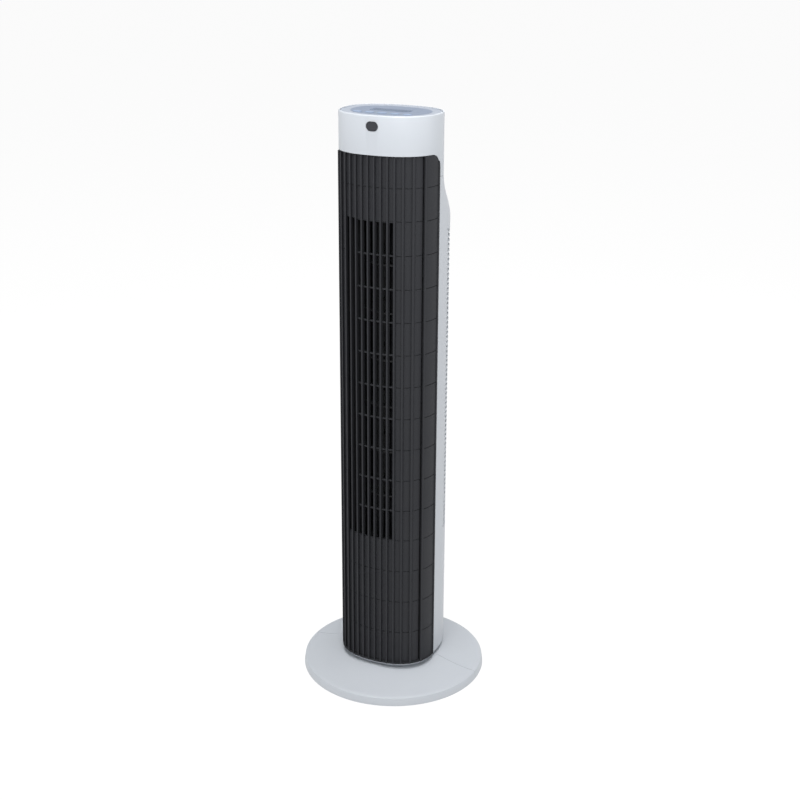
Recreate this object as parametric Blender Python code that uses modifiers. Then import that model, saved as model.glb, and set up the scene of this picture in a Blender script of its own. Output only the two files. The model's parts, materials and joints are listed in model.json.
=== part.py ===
"""Tower fan: a slim oscillating fan on a round two-piece base.

Frame: metres, +Z up, the fan blows towards -Y, origin at the centre of the base on the floor.
Bodies that move: the tower swivels on the base, the impeller spins in the tower, a crank drives
the swivel, and five push buttons travel down into the head.
"""
import math

import bmesh
import bpy
from mathutils import Vector

# ---------------------------------------------------------------- driving dimensions
TOTAL_HEIGHT = 0.750          # floor to the top rim of the head
CLEAR = 0.0003                # gap between pieces that sit on or in each other
RUN_CLEAR = 0.0006            # gap between pieces that slide or turn
CUT_PAST = 0.001              # how far a cutter runs past the face that it cuts

# base
BASE_RADIUS = 0.122
BASE_RIM_HEIGHT = 0.0125      # top of the rim above the floor
BASE_RIM_LEAN = 0.0012        # how far the rim leans inwards
BASE_WALL = 0.0025
BASE_RIM_ROUND = 0.001        # rounding of the rim's upper edge
BASE_DISH_POWER = 1.6         # how hollow the slope is
BASE_DISH_STEP = 0.0006       # the slope ends this far above the rim
BASE_DISH_EDGE = 0.004        # and this far inside it
COLLAR_BORE = 0.0405
COLLAR_RADIUS = COLLAR_BORE + 0.0175   # flat ring in the middle that the tower turns on
COLLAR_TOP = 0.027
BASE_STEPS = 48               # facets round the base
FOOT_RADIUS = 0.009
FOOT_HEIGHT = 0.0022
FOOT_CIRCLE = BASE_RADIUS - 0.014      # radius of the circle that the four feet stand on
RIM_LIFT = 0.0012             # gap between the rim and the floor

# swivel
SOCKET_FLOOR = 0.0025         # thickness of the socket's floor, wall and flange
SOCKET_FLANGE = COLLAR_BORE + 0.0135
SOCKET_DEPTH = 0.0077         # from the flange's underside to the floor's underside
SPIGOT_RADIUS = 0.0081
SPIGOT_BORE = 0.0055
SLEEVE_WALL = 0.0022
RETAINER_WIDTH = 0.0045
RETAINER_HEIGHT = 0.0018
WASHER_HEIGHT = 0.0009
WASHER_EDGE = 0.001           # the washer stays this far inside the collar
SWIVEL_STEPS = 32             # facets on the large turned pieces inside

# crank that swings the tower
CRANK_OFFSET = 0.020          # swivel axis to crank axis
CRANK_THROW = 0.014           # crank axis to crank pin
CRANK_THICKNESS = 0.003
CRANK_HUB = 0.005
CRANK_SHAFT = 0.0025
CRANK_PIN = 0.0016
ROLLER_WALL = 0.0012
TRACK_WALL = 0.002
TRACK_HEIGHT = 0.0038
TRACK_PLAY = 0.0007           # each side of the roller, because the slot opens the linkage
TRACK_START = 0.0095          # distance of the track walls from the sleeve
CRANK_TIP_EDGE = 0.0006       # the arm reaches this far past the roller

# tower outline, seen from above: a rounded front half and a squarer, deeper back half
TOWER_HALF_WIDTH = 0.0637
TOWER_MIDDLE = -0.010         # Y of the line where the two halves meet
FRONT_DEPTH = 0.0537
BACK_DEPTH = 0.0713
HEAD_BACK_DEPTH = 0.0464
FRONT_POWER = 2.35
BACK_POWER = 3.15
SKIN = 0.0022
TOWER_BOTTOM = 0.0315
TOWER_FOOT_INSET = 0.002
TOWER_FOOT_HEIGHT = 0.0027
HEAD_BOTTOM = TOTAL_HEIGHT - 0.075     # the head's lower edge at the back
SHOULDER_LOW = HEAD_BOTTOM - 0.057     # the back slopes in from here up to the head
SHOULDER_STEPS = 7
OUTLINE_STEPS = 48

# front grille
GRILLE_TOP = TOTAL_HEIGHT - 0.0465
GRILLE_PROUD = 0.0010         # the grille stands this far out of the housing's surface
GRILLE_WALL = 0.0035
SEAM_Y = -0.0108              # where grille and rear housing meet on each side
CORNER_RADIUS = 0.012
OPENING_LEFT = -0.03935
OPENING_RIGHT = 0.02765
OPENING_BOTTOM = 0.2105
OPENING_TOP = GRILLE_TOP - 0.0775
SLOT_COUNT = 8
ROW_COUNT = 10
RIB_WIDTH = 0.0019
BAR_HEIGHT = 0.0018
SIDE_COLUMNS = 5
UPPER_STRIP = 0.004           # straight strip below the rounded upper corners

# intake at the back
INTAKE_Y = 0.018
INTAKE_TOP = SHOULDER_LOW - 0.012
SHOULDER_SEAM = (INTAKE_TOP + SHOULDER_LOW) / 2   # the shoulder is its own moulding above this
INTAKE_SLOTS = 20
INTAKE_GROUPS = 4
INTAKE_GROUP_COLUMNS = 2
INTAKE_BAR_TURN = math.radians(3.0)
INTAKE_WALL = 0.0022

# carry handle
HANDLE_HALF_WIDTH = 0.042
HANDLE_TOP = HEAD_BOTTOM - 0.007
HANDLE_BOTTOM = HANDLE_TOP - 0.028
HANDLE_FRONT = 0.012
HANDLE_WALL = 0.0018

# fan motor and impeller
FAN_AXIS = (0.004, 0.002)
MOTOR_RADIUS = 0.036
MOTOR_HEIGHT = 0.047
MOTOR_WALL = 0.002
MOTOR_BOTTOM = 0.126
MOTOR_TOP = MOTOR_BOTTOM + MOTOR_HEIGHT
IMPELLER_RADIUS = 0.042
IMPELLER_INNER = IMPELLER_RADIUS - 0.012
IMPELLER_BOTTOM = MOTOR_TOP + 0.027
IMPELLER_TOP = OPENING_TOP + 0.003
INTAKE_BOTTOM = IMPELLER_BOTTOM + 0.005
DISC_HEIGHT = 0.002
BLADE_COUNT = 20
BLADE_THICKNESS = 0.0012
BLADE_SWEEP = math.radians(16.0)
BLADE_BEND = 0.65             # share of the sweep that is reached half way out
BLADE_EDGE = 0.0004           # the blades end this far inside the discs' edge
HUB_RADIUS = 0.013
HUB_HEIGHT = 0.016
SHAFT_RADIUS = 0.004
SHAFT_TAIL = 0.003            # the shaft stands this far out of the motor's bottom
SHAFT_SHORT = 0.004           # and ends this far below the hub's top
ROTOR_RADIUS = 0.022
ROTOR_END_GAP = 0.008
BRACKET_HEIGHT = 0.003
BRACKET_INSET = 0.0085
BRACKET_STEPS = 40
BRACKET_HOLE_GAP = 0.004      # round the shaft
BUSH_RADIUS = 0.0075
BUSH_HEIGHT = 0.006
AXLE_RADIUS = 0.003
AXLE_TAIL = 0.006             # the axle reaches this far below the top disc
GUIDE_WALL = 0.0018
GUIDE_GAP = 0.002             # between a guide's front edge and the grille
SCROLL_NEAR = 0.006           # the scroll starts this far from the impeller ...
SCROLL_STEP = 0.0012          # ... and widens by this at every step
SCROLL_START = 24             # degrees from +X
SCROLL_TURN = 12              # degrees for each step
SCROLL_POINTS = 7
TONGUE_NEAR = 0.004
TONGUE_TURNS = (222, 212, 202)
GUIDE_PAST_RIGHT = 0.004      # front edge of the scroll, outside the opening
GUIDE_PAST_LEFT = 0.002
TONGUE_END_INSET = 0.012      # rear edge of the tongue, from the tower's side
TONGUE_END_FRONT = 0.004      # and in front of the middle line

# swing motor and electrics in the foot of the tower
SWING_RADIUS = 0.0245
SWING_HEIGHT = 0.018
SWING_BORE_DEPTH = 0.009
CAPACITOR_SIZE = (0.034, 0.016, 0.024)
CAPACITOR_PLACE = (-0.030, 0.036)
GLAND_RADIUS = 0.0062
GLAND_FLANGE = 0.0085
GLAND_LENGTH = 0.012
GLAND_Z = 0.060
GLAND_FLANGE_HEIGHT = 0.002

# head
HEAD_RIM = 0.0058             # width of the white rim around the control panel
HEAD_EDGE = 0.0026            # rounding of the head's top edge
COS_30 = math.cos(math.radians(30))
PANEL_SINK = 0.0010           # panel surface below the rim
PANEL_THICKNESS = 0.0025
LEDGE_WIDTH = 0.0034
BUTTON_COUNT = 5
BUTTON_NAMES = ("power", "speed", "timer", "swing", "mode")
BUTTON_Y = -0.036
BUTTON_HALF_LENGTH = 0.0058
BUTTON_HALF_WIDTH = 0.0038
BUTTON_FLANGE = 0.0012
BUTTON_PITCH = 2 * (BUTTON_HALF_LENGTH + BUTTON_FLANGE) + 0.0025
BUTTON_PROUD = 0.0008
BUTTON_TRAVEL = 0.0008
SWITCH_SIZE = 0.005
SWITCH_HEIGHT = 0.0027
BOARD_THICKNESS = 0.0016
BOARD_INSET = 0.0125
DISPLAY_HALF_LENGTH = 0.026
DISPLAY_HALF_WIDTH = 0.0085
DISPLAY_Y = -0.011
WINDOW_HALF_LENGTH = 0.0076
WINDOW_HALF_HEIGHT = 0.0054
WINDOW_Z = TOTAL_HEIGHT - 0.013
WINDOW_BACK = 0.001           # the window is this much thicker than the head's wall
WINDOW_CUT = 0.010

# fasteners
SCREW_HEAD_RADIUS = 0.0032
SCREW_HEAD_HEIGHT = 0.0019
SCREW_SHANK_RADIUS = 0.0014
SOCKET_SCREW_CIRCLE = COLLAR_BORE + 0.008
REAR_SCREW_X = 0.030
REAR_SCREW_LEVELS = (MOTOR_BOTTOM - 0.016, MOTOR_TOP + 0.012)
REAR_SCREW_LENGTH = 0.012

# ---------------------------------------------------------------- levels worked out from these
SOCKET_TOP = COLLAR_TOP - BASE_WALL - CLEAR
SOCKET_BOTTOM = SOCKET_TOP - SOCKET_FLOOR - SOCKET_DEPTH
SOCKET_INSIDE = SOCKET_BOTTOM + SOCKET_FLOOR
WASHER_BOTTOM = COLLAR_TOP + CLEAR
TOWER_FOOT_TOP = TOWER_BOTTOM - CLEAR
TOWER_FOOT_BOTTOM = TOWER_FOOT_TOP - TOWER_FOOT_HEIGHT
TRACK_TOP = SOCKET_INSIDE + TRACK_HEIGHT
CRANK_BOTTOM = TRACK_TOP + RUN_CLEAR
CRANK_TOP = CRANK_BOTTOM + CRANK_THICKNESS
SPIGOT_BOTTOM = SOCKET_BOTTOM - RUN_CLEAR - RETAINER_HEIGHT - CLEAR
TOP_BRACKET_BOTTOM = IMPELLER_TOP + 0.004
TOP_BRACKET_MIDDLE = TOP_BRACKET_BOTTOM + BRACKET_HEIGHT / 2
PANEL_TOP = TOTAL_HEIGHT - PANEL_SINK
PANEL_BOTTOM = PANEL_TOP - PANEL_THICKNESS
LEDGE_TOP = PANEL_BOTTOM - CLEAR
FLANGE_TOP = PANEL_BOTTOM - RUN_CLEAR
FLANGE_BOTTOM = FLANGE_TOP - BUTTON_FLANGE
SWITCH_TOP = FLANGE_BOTTOM - BUTTON_TRAVEL - CLEAR
BOARD_TOP = SWITCH_TOP - SWITCH_HEIGHT - CLEAR

# ---------------------------------------------------------------- finishes: colour, roughness, metallic
FINISHES = {
    "white_plastic": ("D6DBE2", 0.45, 0.0),
    "dark_plastic": ("3C3D40", 0.50, 0.0),
    "panel_film": ("A9B4C4", 0.30, 0.0),
    "dark_lens": ("3A3C45", 0.15, 0.0),
    "button_plastic": ("C9CFD8", 0.40, 0.0),
    "nylon": ("E4E1D8", 0.50, 0.0),
    "rubber": ("202022", 0.80, 0.0),
    "steel": ("A8AAAD", 0.35, 1.0),
    "motor_steel": ("8B8E92", 0.45, 1.0),
    "impeller_plastic": ("2C2D30", 0.50, 0.0),
    "circuit_board": ("2F6B45", 0.50, 0.0),
}


def linear_channel(value):
    """One sRGB channel, 0 to 1, as linear light."""
    if value <= 0.04045:
        return value / 12.92
    return ((value + 0.055) / 1.055) ** 2.4


def finish(obj, kind):
    """Give an object its own Principled material."""
    code, roughness, metallic = FINISHES[kind]
    colour = [linear_channel(int(code[i:i + 2], 16) / 255) for i in (0, 2, 4)]
    material = bpy.data.materials.new(obj.name + "_" + kind)
    material.use_nodes = True
    shader = material.node_tree.nodes["Principled BSDF"]
    shader.inputs["Base Color"].default_value = (*colour, 1.0)
    shader.inputs["Roughness"].default_value = roughness
    shader.inputs["Metallic"].default_value = metallic
    material.diffuse_color = (*colour, 1.0)
    obj.data.materials.clear()
    obj.data.materials.append(material)
    return obj


# ---------------------------------------------------------------- scene and collections
def empty_scene():
    """Remove every object, then make the collections for the parts and the cutters."""
    for obj in list(bpy.data.objects):
        bpy.data.objects.remove(obj, do_unlink=True)
    for name in ("tower_fan", "cutters"):
        collection = bpy.data.collections.new(name)
        bpy.context.scene.collection.children.link(collection)


def add_object(name, bm, collection="tower_fan"):
    """Turn a bmesh into an object in one of the two collections."""
    bm.normal_update()
    bmesh.ops.recalc_face_normals(bm, faces=bm.faces)
    mesh = bpy.data.meshes.new(name)
    bm.to_mesh(mesh)
    bm.free()
    obj = bpy.data.objects.new(name, mesh)
    bpy.data.collections[collection].objects.link(obj)
    if collection == "cutters":
        obj.hide_render = True
        obj.display_type = "WIRE"
    return obj


def boolean(obj, tool, operation):
    """Add one Boolean modifier."""
    modifier = obj.modifiers.new(operation.lower() + "_" + tool.name, "BOOLEAN")
    modifier.operation = operation
    modifier.solver = "EXACT"
    modifier.object = tool
    return obj


def smooth(obj, angle=30.0):
    """Shade round faces smooth and keep edges sharper than the angle."""
    obj.data.shade_smooth()
    obj.data.set_sharp_from_angle(angle=math.radians(angle))
    return obj


# ---------------------------------------------------------------- simple solids
def prism(name, outline, bottom, top, collection="tower_fan"):
    """A flat outline in plan, raised from bottom to top."""
    bm = bmesh.new()
    face = bm.faces.new([bm.verts.new((x, y, bottom)) for x, y in outline])
    grown = bmesh.ops.extrude_face_region(bm, geom=[face])
    raised = [item for item in grown["geom"] if isinstance(item, bmesh.types.BMVert)]
    bmesh.ops.translate(bm, vec=(0, 0, top - bottom), verts=raised)
    return add_object(name, bm, collection)


def box(name, low, high, collection="tower_fan"):
    """A box between two corners."""
    outline = [(low[0], low[1]), (high[0], low[1]), (high[0], high[1]), (low[0], high[1])]
    return prism(name, outline, low[2], high[2], collection)


def cylinder_into(bm, radius, bottom, top, x, y, segments):
    """Add an upright cylinder to a bmesh."""
    made = bmesh.ops.create_cone(bm, cap_ends=True, segments=segments, radius1=radius,
                                 radius2=radius, depth=top - bottom)
    bmesh.ops.translate(bm, vec=(x, y, (top + bottom) / 2), verts=made["verts"])
    return made["verts"]


def cylinder(name, radius, bottom, top, x=0.0, y=0.0, segments=24, collection="tower_fan"):
    """An upright cylinder."""
    bm = bmesh.new()
    cylinder_into(bm, radius, bottom, top, x, y, segments)
    return add_object(name, bm, collection)


def turned(name, profile, x=0.0, y=0.0, steps=24):
    """A closed (radius, z) profile turned about an upright axis; it runs down its outer side."""
    bm = bmesh.new()
    verts = [bm.verts.new((radius, 0.0, z)) for radius, z in profile]
    for index, vert in enumerate(verts):
        following = verts[(index + 1) % len(verts)]
        if vert.co.x > 0 or following.co.x > 0:
            bm.edges.new((vert, following))
    obj = add_object(name, bm)
    obj.location = (x, y, 0.0)
    screw = obj.modifiers.new("turn", "SCREW")
    screw.axis = "Z"
    screw.angle = math.tau
    screw.steps = steps
    screw.render_steps = steps
    screw.use_merge_vertices = True
    screw.merge_threshold = 0.00001
    screw.use_smooth_shade = False
    return obj


def ring(name, inner, outer, bottom, top, x=0.0, y=0.0, steps=24):
    """A flat ring or short tube."""
    profile = [(inner, top), (outer, top), (outer, bottom), (inner, bottom)]
    return turned(name, profile, x, y, steps)


def round_end_slot(half_length, half_width, x=0.0, y=0.0, steps=6):
    """Outline of a bar with round ends along X."""
    outline = []
    for side in (1, -1):
        for step in range(steps + 1):
            angle = -math.pi / 2 + math.pi * step / steps
            reach = half_length - half_width + half_width * math.cos(angle)
            outline.append((x + side * reach, y + side * half_width * math.sin(angle)))
    return outline


# ---------------------------------------------------------------- the tower's outline
def shoulder(z):
    """0 on the tower, 1 on the head, with a smooth S between."""
    share = min(max((z - SHOULDER_LOW) / (HEAD_BOTTOM - SHOULDER_LOW), 0.0), 1.0)
    return share * share * (3.0 - 2.0 * share)


def outline_point(angle, z, inset=0.0):
    """A point of the outline; angle 0 is +X and three quarters of a turn is the front."""
    cosine, sine = math.cos(angle), math.sin(angle)
    depth, power = FRONT_DEPTH, FRONT_POWER
    if sine > 0:
        depth = BACK_DEPTH + (HEAD_BACK_DEPTH - BACK_DEPTH) * shoulder(z)
        power = BACK_POWER + (FRONT_POWER - BACK_POWER) * shoulder(z)
    x = (TOWER_HALF_WIDTH - inset) * math.copysign(abs(cosine) ** (2 / power), cosine)
    y = (depth - inset) * math.copysign(abs(sine) ** (2 / power), sine)
    return Vector((x, TOWER_MIDDLE + y, z))


def front_angle_at_x(x):
    """Angle where the front half of the outline passes an X."""
    share = (abs(x) / TOWER_HALF_WIDTH) ** (FRONT_POWER / 2)
    return math.tau - math.acos(math.copysign(share, x))


def side_angle_at_y(y):
    """Angle, from the +X end of the middle line, where the outline passes a Y."""
    depth, power = (BACK_DEPTH, BACK_POWER) if y > TOWER_MIDDLE else (FRONT_DEPTH, FRONT_POWER)
    return math.asin((abs(y - TOWER_MIDDLE) / depth) ** (power / 2))


def full_angles(steps=OUTLINE_STEPS):
    """Angles all the way round."""
    return [math.tau * step / steps for step in range(steps)]


def plan(z, inset, steps=OUTLINE_STEPS):
    """The outline at a level as flat points."""
    return [tuple(outline_point(angle, z, inset).xy) for angle in full_angles(steps)]


def swept_wall(name, section, collection="tower_fan"):
    """A closed wall section, a list of (inset, z), carried round the outline."""
    bm = bmesh.new()
    rings = [[bm.verts.new(outline_point(angle, z, inset)) for angle in full_angles()]
             for inset, z in section]
    for lower, upper in zip(rings, rings[1:] + rings[:1]):
        for index, vert in enumerate(lower):
            following = (index + 1) % len(lower)
            bm.faces.new((vert, lower[following], upper[following], upper[index]))
    return add_object(name, bm, collection)


def outline_solid(name, inset, levels, collection="cutters"):
    """The tower's outer shape as one solid block."""
    bm = bmesh.new()
    rings = [[bm.verts.new(outline_point(angle, z, inset)) for angle in full_angles()]
             for z in levels]
    for lower, upper in zip(rings, rings[1:]):
        for index, vert in enumerate(lower):
            following = (index + 1) % len(lower)
            bm.faces.new((vert, lower[following], upper[following], upper[index]))
    bm.faces.new(list(reversed(rings[0])))
    bm.faces.new(rings[-1])
    return add_object(name, bm, collection)


def slotted_panel(name, angles, levels, is_hole, proud, wall):
    """A curved panel of cells; the cells that are holes are left out and the rest is thickened."""
    bm = bmesh.new()
    grid = [[bm.verts.new(outline_point(angle, z, -proud)) for angle in angles] for z in levels]
    for row in range(len(levels) - 1):
        for column in range(len(angles) - 1):
            if is_hole(column, row):
                continue
            lower, upper = grid[row], grid[row + 1]
            bm.faces.new((lower[column], lower[column + 1], upper[column + 1], upper[column]))
    mesh = bpy.data.meshes.new(name)
    bm.to_mesh(mesh)
    bm.free()
    obj = bpy.data.objects.new(name, mesh)
    bpy.data.collections["tower_fan"].objects.link(obj)
    thicken = obj.modifiers.new("thicken", "SOLIDIFY")
    thicken.thickness = wall
    thicken.offset = -1.0
    thicken.use_even_offset = True
    return obj


def shoulder_levels():
    """Levels that follow the S of the shoulder."""
    rise = HEAD_BOTTOM - SHOULDER_LOW
    return [SHOULDER_LOW + rise * step / SHOULDER_STEPS for step in range(SHOULDER_STEPS + 1)]


# ---------------------------------------------------------------- base
def base_profile():
    """Section of the base: flat collar, hollow slope, upright rim."""
    slope = []
    reach = BASE_RADIUS - BASE_DISH_EDGE - COLLAR_RADIUS
    fall = COLLAR_TOP - BASE_RIM_HEIGHT - BASE_DISH_STEP
    for step in range(6):
        share = step / 5
        drop = 1.0 - (1.0 - share) ** BASE_DISH_POWER
        slope.append((COLLAR_RADIUS + reach * share, COLLAR_TOP - fall * drop))
    rim_top = BASE_RADIUS - BASE_RIM_LEAN
    outside = [(COLLAR_BORE, COLLAR_TOP)] + slope + [
        (rim_top - BASE_RIM_ROUND, BASE_RIM_HEIGHT), (rim_top, BASE_RIM_HEIGHT - BASE_RIM_ROUND),
        (BASE_RADIUS, RIM_LIFT + BASE_WALL), (BASE_RADIUS, RIM_LIFT)]
    inside = [(BASE_RADIUS - BASE_WALL, RIM_LIFT), (rim_top - BASE_WALL, BASE_RIM_HEIGHT - BASE_WALL)]
    inside += [(radius, z - BASE_WALL) for radius, z in reversed(slope[:-1])]
    return outside + inside + [(COLLAR_BORE, COLLAR_TOP - BASE_WALL)]


def make_base():
    """Two half rings that meet on the X axis."""
    reach = 2 * BASE_RADIUS
    for name, side in (("base_front", -1), ("base_rear", 1)):
        half = turned(name, base_profile(), steps=BASE_STEPS)
        edge = side * CLEAR / 2
        low, high = sorted((edge, -side * reach))
        other = box("other_half_" + name, (-reach, low, -reach), (reach, high, reach), "cutters")
        boolean(half, other, "DIFFERENCE")
        boolean(half, socket_screw_holes("base_screw_holes_" + name), "DIFFERENCE")
        finish(smooth(half), "white_plastic")


def socket_screw_places():
    """Four screws on a circle, between the seam and the crank track."""
    for quarter in range(4):
        angle = math.radians(45 + 90 * quarter)
        yield SOCKET_SCREW_CIRCLE * math.cos(angle), SOCKET_SCREW_CIRCLE * math.sin(angle)


def socket_screw_holes(name):
    """Cutter for the screw shanks, from under the flange into the collar."""
    bm = bmesh.new()
    for x, y in socket_screw_places():
        cylinder_into(bm, SCREW_SHANK_RADIUS + CLEAR, SOCKET_TOP - 2 * SOCKET_FLOOR,
                      COLLAR_TOP - BASE_WALL / 4, x, y, 10)
    return add_object(name, bm, "cutters")


def make_feet():
    """Four rubber feet under the slope, between rim and collar."""
    for number in range(4):
        angle = math.radians(45 + 90 * number)
        x, y = FOOT_CIRCLE * math.cos(angle), FOOT_CIRCLE * math.sin(angle)
        foot = cylinder("rubber_foot_%d" % (number + 1), FOOT_RADIUS, 0.0, FOOT_HEIGHT, x, y, 16)
        finish(smooth(foot), "rubber")
        post_top = BASE_RIM_HEIGHT - BASE_WALL - CLEAR
        post = cylinder("foot_post_%d" % (number + 1), FOOT_RADIUS * 0.6, FOOT_HEIGHT / 2, post_top,
                        x, y, 12, "cutters")
        boolean(foot, post, "UNION")


def make_socket():
    """The dish that the tower's spigot turns in, with the crank's track on its floor."""
    sleeve_in = SPIGOT_RADIUS + RUN_CLEAR / 2
    sleeve_out = sleeve_in + SLEEVE_WALL
    wall_out = COLLAR_BORE - CLEAR
    wall_in = wall_out - SOCKET_FLOOR
    profile = [
        (sleeve_in, SOCKET_TOP), (sleeve_out, SOCKET_TOP), (sleeve_out, SOCKET_INSIDE),
        (wall_in, SOCKET_INSIDE), (wall_in, SOCKET_TOP), (SOCKET_FLANGE, SOCKET_TOP),
        (SOCKET_FLANGE, SOCKET_TOP - SOCKET_FLOOR), (wall_out, SOCKET_TOP - SOCKET_FLOOR),
        (wall_out, SOCKET_BOTTOM), (sleeve_in, SOCKET_BOTTOM)]
    socket = turned("swivel_socket", profile, steps=SWIVEL_STEPS)
    for side in (-1, 1):
        near = roller_radius() + TRACK_PLAY
        low, high = sorted((side * near, side * (near + TRACK_WALL)))
        corner = (low, -wall_in - SOCKET_FLOOR / 2, SOCKET_INSIDE - SOCKET_FLOOR / 2)
        wall = box("track_wall_%d" % side, corner, (high, -sleeve_out - TRACK_START, TRACK_TOP), "cutters")
        boolean(socket, wall, "UNION")
    boolean(socket, socket_screw_holes("socket_screw_holes"), "DIFFERENCE")
    finish(smooth(socket), "nylon")


def screw(name, seat, direction, length):
    """A screw whose head ends at the seat and whose shank runs on along the direction."""
    profile = [
        (0.0, length), (SCREW_SHANK_RADIUS, length), (SCREW_SHANK_RADIUS, 0.0),
        (SCREW_HEAD_RADIUS, 0.0), (SCREW_HEAD_RADIUS, -SCREW_HEAD_HEIGHT), (0.0, -SCREW_HEAD_HEIGHT)]
    obj = turned(name, profile, steps=12)
    obj.location = seat
    obj.rotation_mode = "QUATERNION"
    obj.rotation_quaternion = Vector((0, 0, 1)).rotation_difference(direction)
    return finish(smooth(obj), "steel")


def make_socket_screws():
    """Four screws that hold the socket under both base halves."""
    head_top = SOCKET_TOP - SOCKET_FLOOR - CLEAR
    for number, (x, y) in enumerate(socket_screw_places()):
        screw("socket_screw_%d" % (number + 1), (x, y, head_top), Vector((0, 0, 1)),
              COLLAR_TOP - BASE_WALL / 4 - 2 * CLEAR - head_top)


def make_swivel_rings():
    """Low-friction washer under the tower and the ring that keeps the spigot in the socket."""
    washer = ring("swivel_washer", COLLAR_BORE + 2 * WASHER_EDGE, COLLAR_RADIUS - WASHER_EDGE,
                  WASHER_BOTTOM, WASHER_BOTTOM + WASHER_HEIGHT, steps=SWIVEL_STEPS)
    finish(smooth(washer), "nylon")
    retainer = ring("retaining_ring", SPIGOT_RADIUS + CLEAR, SPIGOT_RADIUS + RETAINER_WIDTH,
                    SOCKET_BOTTOM - RUN_CLEAR - RETAINER_HEIGHT, SOCKET_BOTTOM - RUN_CLEAR)
    finish(smooth(retainer), "steel")


# ---------------------------------------------------------------- crank
def roller_radius():
    """Outer radius of the roller on the crank pin."""
    return CRANK_PIN + CLEAR + ROLLER_WALL


def make_crank():
    """Arm with its shaft up into the swing motor and its pin down into the track."""
    centre = Vector((0.0, -CRANK_OFFSET))
    pin_y = centre.y - CRANK_THROW
    tip = roller_radius() + CRANK_TIP_EDGE
    outline = []
    for step in range(13):
        angle = math.pi * step / 12
        outline.append((CRANK_HUB * math.cos(angle), centre.y + CRANK_HUB * math.sin(angle)))
    for step in range(9):
        angle = math.pi + math.pi * step / 8
        outline.append((tip * math.cos(angle), pin_y + tip * math.sin(angle)))
    arm = prism("crank_arm", outline, CRANK_BOTTOM, CRANK_TOP)
    shaft = cylinder("crank_shaft", CRANK_SHAFT, CRANK_BOTTOM + CRANK_THICKNESS / 2,
                     TOWER_BOTTOM + SWING_BORE_DEPTH - RUN_CLEAR, 0.0, centre.y, 16, "cutters")
    pin = cylinder("crank_pin", CRANK_PIN, SOCKET_INSIDE + RUN_CLEAR,
                   CRANK_BOTTOM + CRANK_THICKNESS / 2, 0.0, pin_y, 12, "cutters")
    boolean(boolean(arm, shaft, "UNION"), pin, "UNION")
    finish(smooth(arm), "nylon")
    roller = ring("crank_roller", CRANK_PIN + CLEAR, roller_radius(), SOCKET_INSIDE + RUN_CLEAR,
                  CRANK_BOTTOM - CLEAR, 0.0, pin_y, 16)
    finish(smooth(roller), "nylon")


# ---------------------------------------------------------------- tower foot
def make_tower_foot():
    """Plate that closes the tower's bottom, with the hollow spigot below it."""
    foot = prism("tower_foot", plan(TOWER_BOTTOM, TOWER_FOOT_INSET), TOWER_FOOT_BOTTOM, TOWER_FOOT_TOP)
    spigot = cylinder("spigot", SPIGOT_RADIUS, SPIGOT_BOTTOM, TOWER_FOOT_TOP - TOWER_FOOT_HEIGHT / 2,
                      collection="cutters")
    bore = cylinder("spigot_bore", SPIGOT_BORE, SPIGOT_BOTTOM - CUT_PAST, TOWER_FOOT_TOP + CUT_PAST,
                    collection="cutters")
    crank_hole = cylinder("crank_hole", CRANK_SHAFT + RUN_CLEAR, TOWER_FOOT_BOTTOM - CUT_PAST,
                          TOWER_FOOT_TOP + CUT_PAST, 0.0, -CRANK_OFFSET, 16, "cutters")
    boolean(foot, spigot, "UNION")
    boolean(foot, bore, "DIFFERENCE")
    boolean(foot, crank_hole, "DIFFERENCE")
    finish(smooth(foot), "white_plastic")


def make_swing_motor():
    """Flat synchronous motor that turns the crank."""
    profile = [(0.0, TOWER_BOTTOM + SWING_HEIGHT), (SWING_RADIUS, TOWER_BOTTOM + SWING_HEIGHT),
               (SWING_RADIUS, TOWER_BOTTOM), (CRANK_SHAFT + RUN_CLEAR, TOWER_BOTTOM),
               (CRANK_SHAFT + RUN_CLEAR, TOWER_BOTTOM + SWING_BORE_DEPTH),
               (0.0, TOWER_BOTTOM + SWING_BORE_DEPTH)]
    motor = turned("swing_motor", profile, 0.0, -CRANK_OFFSET)
    finish(smooth(motor), "motor_steel")


def make_capacitor():
    """Run capacitor of the fan motor."""
    x, y = CAPACITOR_PLACE
    width, depth, height = CAPACITOR_SIZE
    block = box("motor_capacitor", (x - width / 2, y - depth / 2, TOWER_BOTTOM),
                (x + width / 2, y + depth / 2, TOWER_BOTTOM + height))
    bevel = block.modifiers.new("edges", "BEVEL")
    bevel.width = 0.001
    bevel.segments = 1
    finish(block, "dark_plastic")


def back_face_y(x, z, inset=0.0):
    """Y of the tower's back surface at an X."""
    share = min(abs(x) / (TOWER_HALF_WIDTH - inset), 1.0)
    power = BACK_POWER + (FRONT_POWER - BACK_POWER) * shoulder(z)
    depth = BACK_DEPTH + (HEAD_BACK_DEPTH - BACK_DEPTH) * shoulder(z) - inset
    return TOWER_MIDDLE + depth * (1.0 - share ** power) ** (1.0 / power)


def front_face_y(x, inset=0.0):
    """Y of the tower's front surface at an X."""
    share = abs(x) / (TOWER_HALF_WIDTH - inset)
    return TOWER_MIDDLE - (FRONT_DEPTH - inset) * (1.0 - share ** FRONT_POWER) ** (1.0 / FRONT_POWER)


def gland_barrel(name, radius, start, end, collection="cutters"):
    """A round bar along Y at the gland's place."""
    bm = bmesh.new()
    made = bmesh.ops.create_cone(bm, cap_ends=True, segments=16, radius1=radius, radius2=radius,
                                 depth=end - start)
    for vert in made["verts"]:
        vert.co = Vector((vert.co.x, (start + end) / 2 + vert.co.z, GLAND_Z + vert.co.y))
    return add_object(name, bm, collection)


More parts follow.
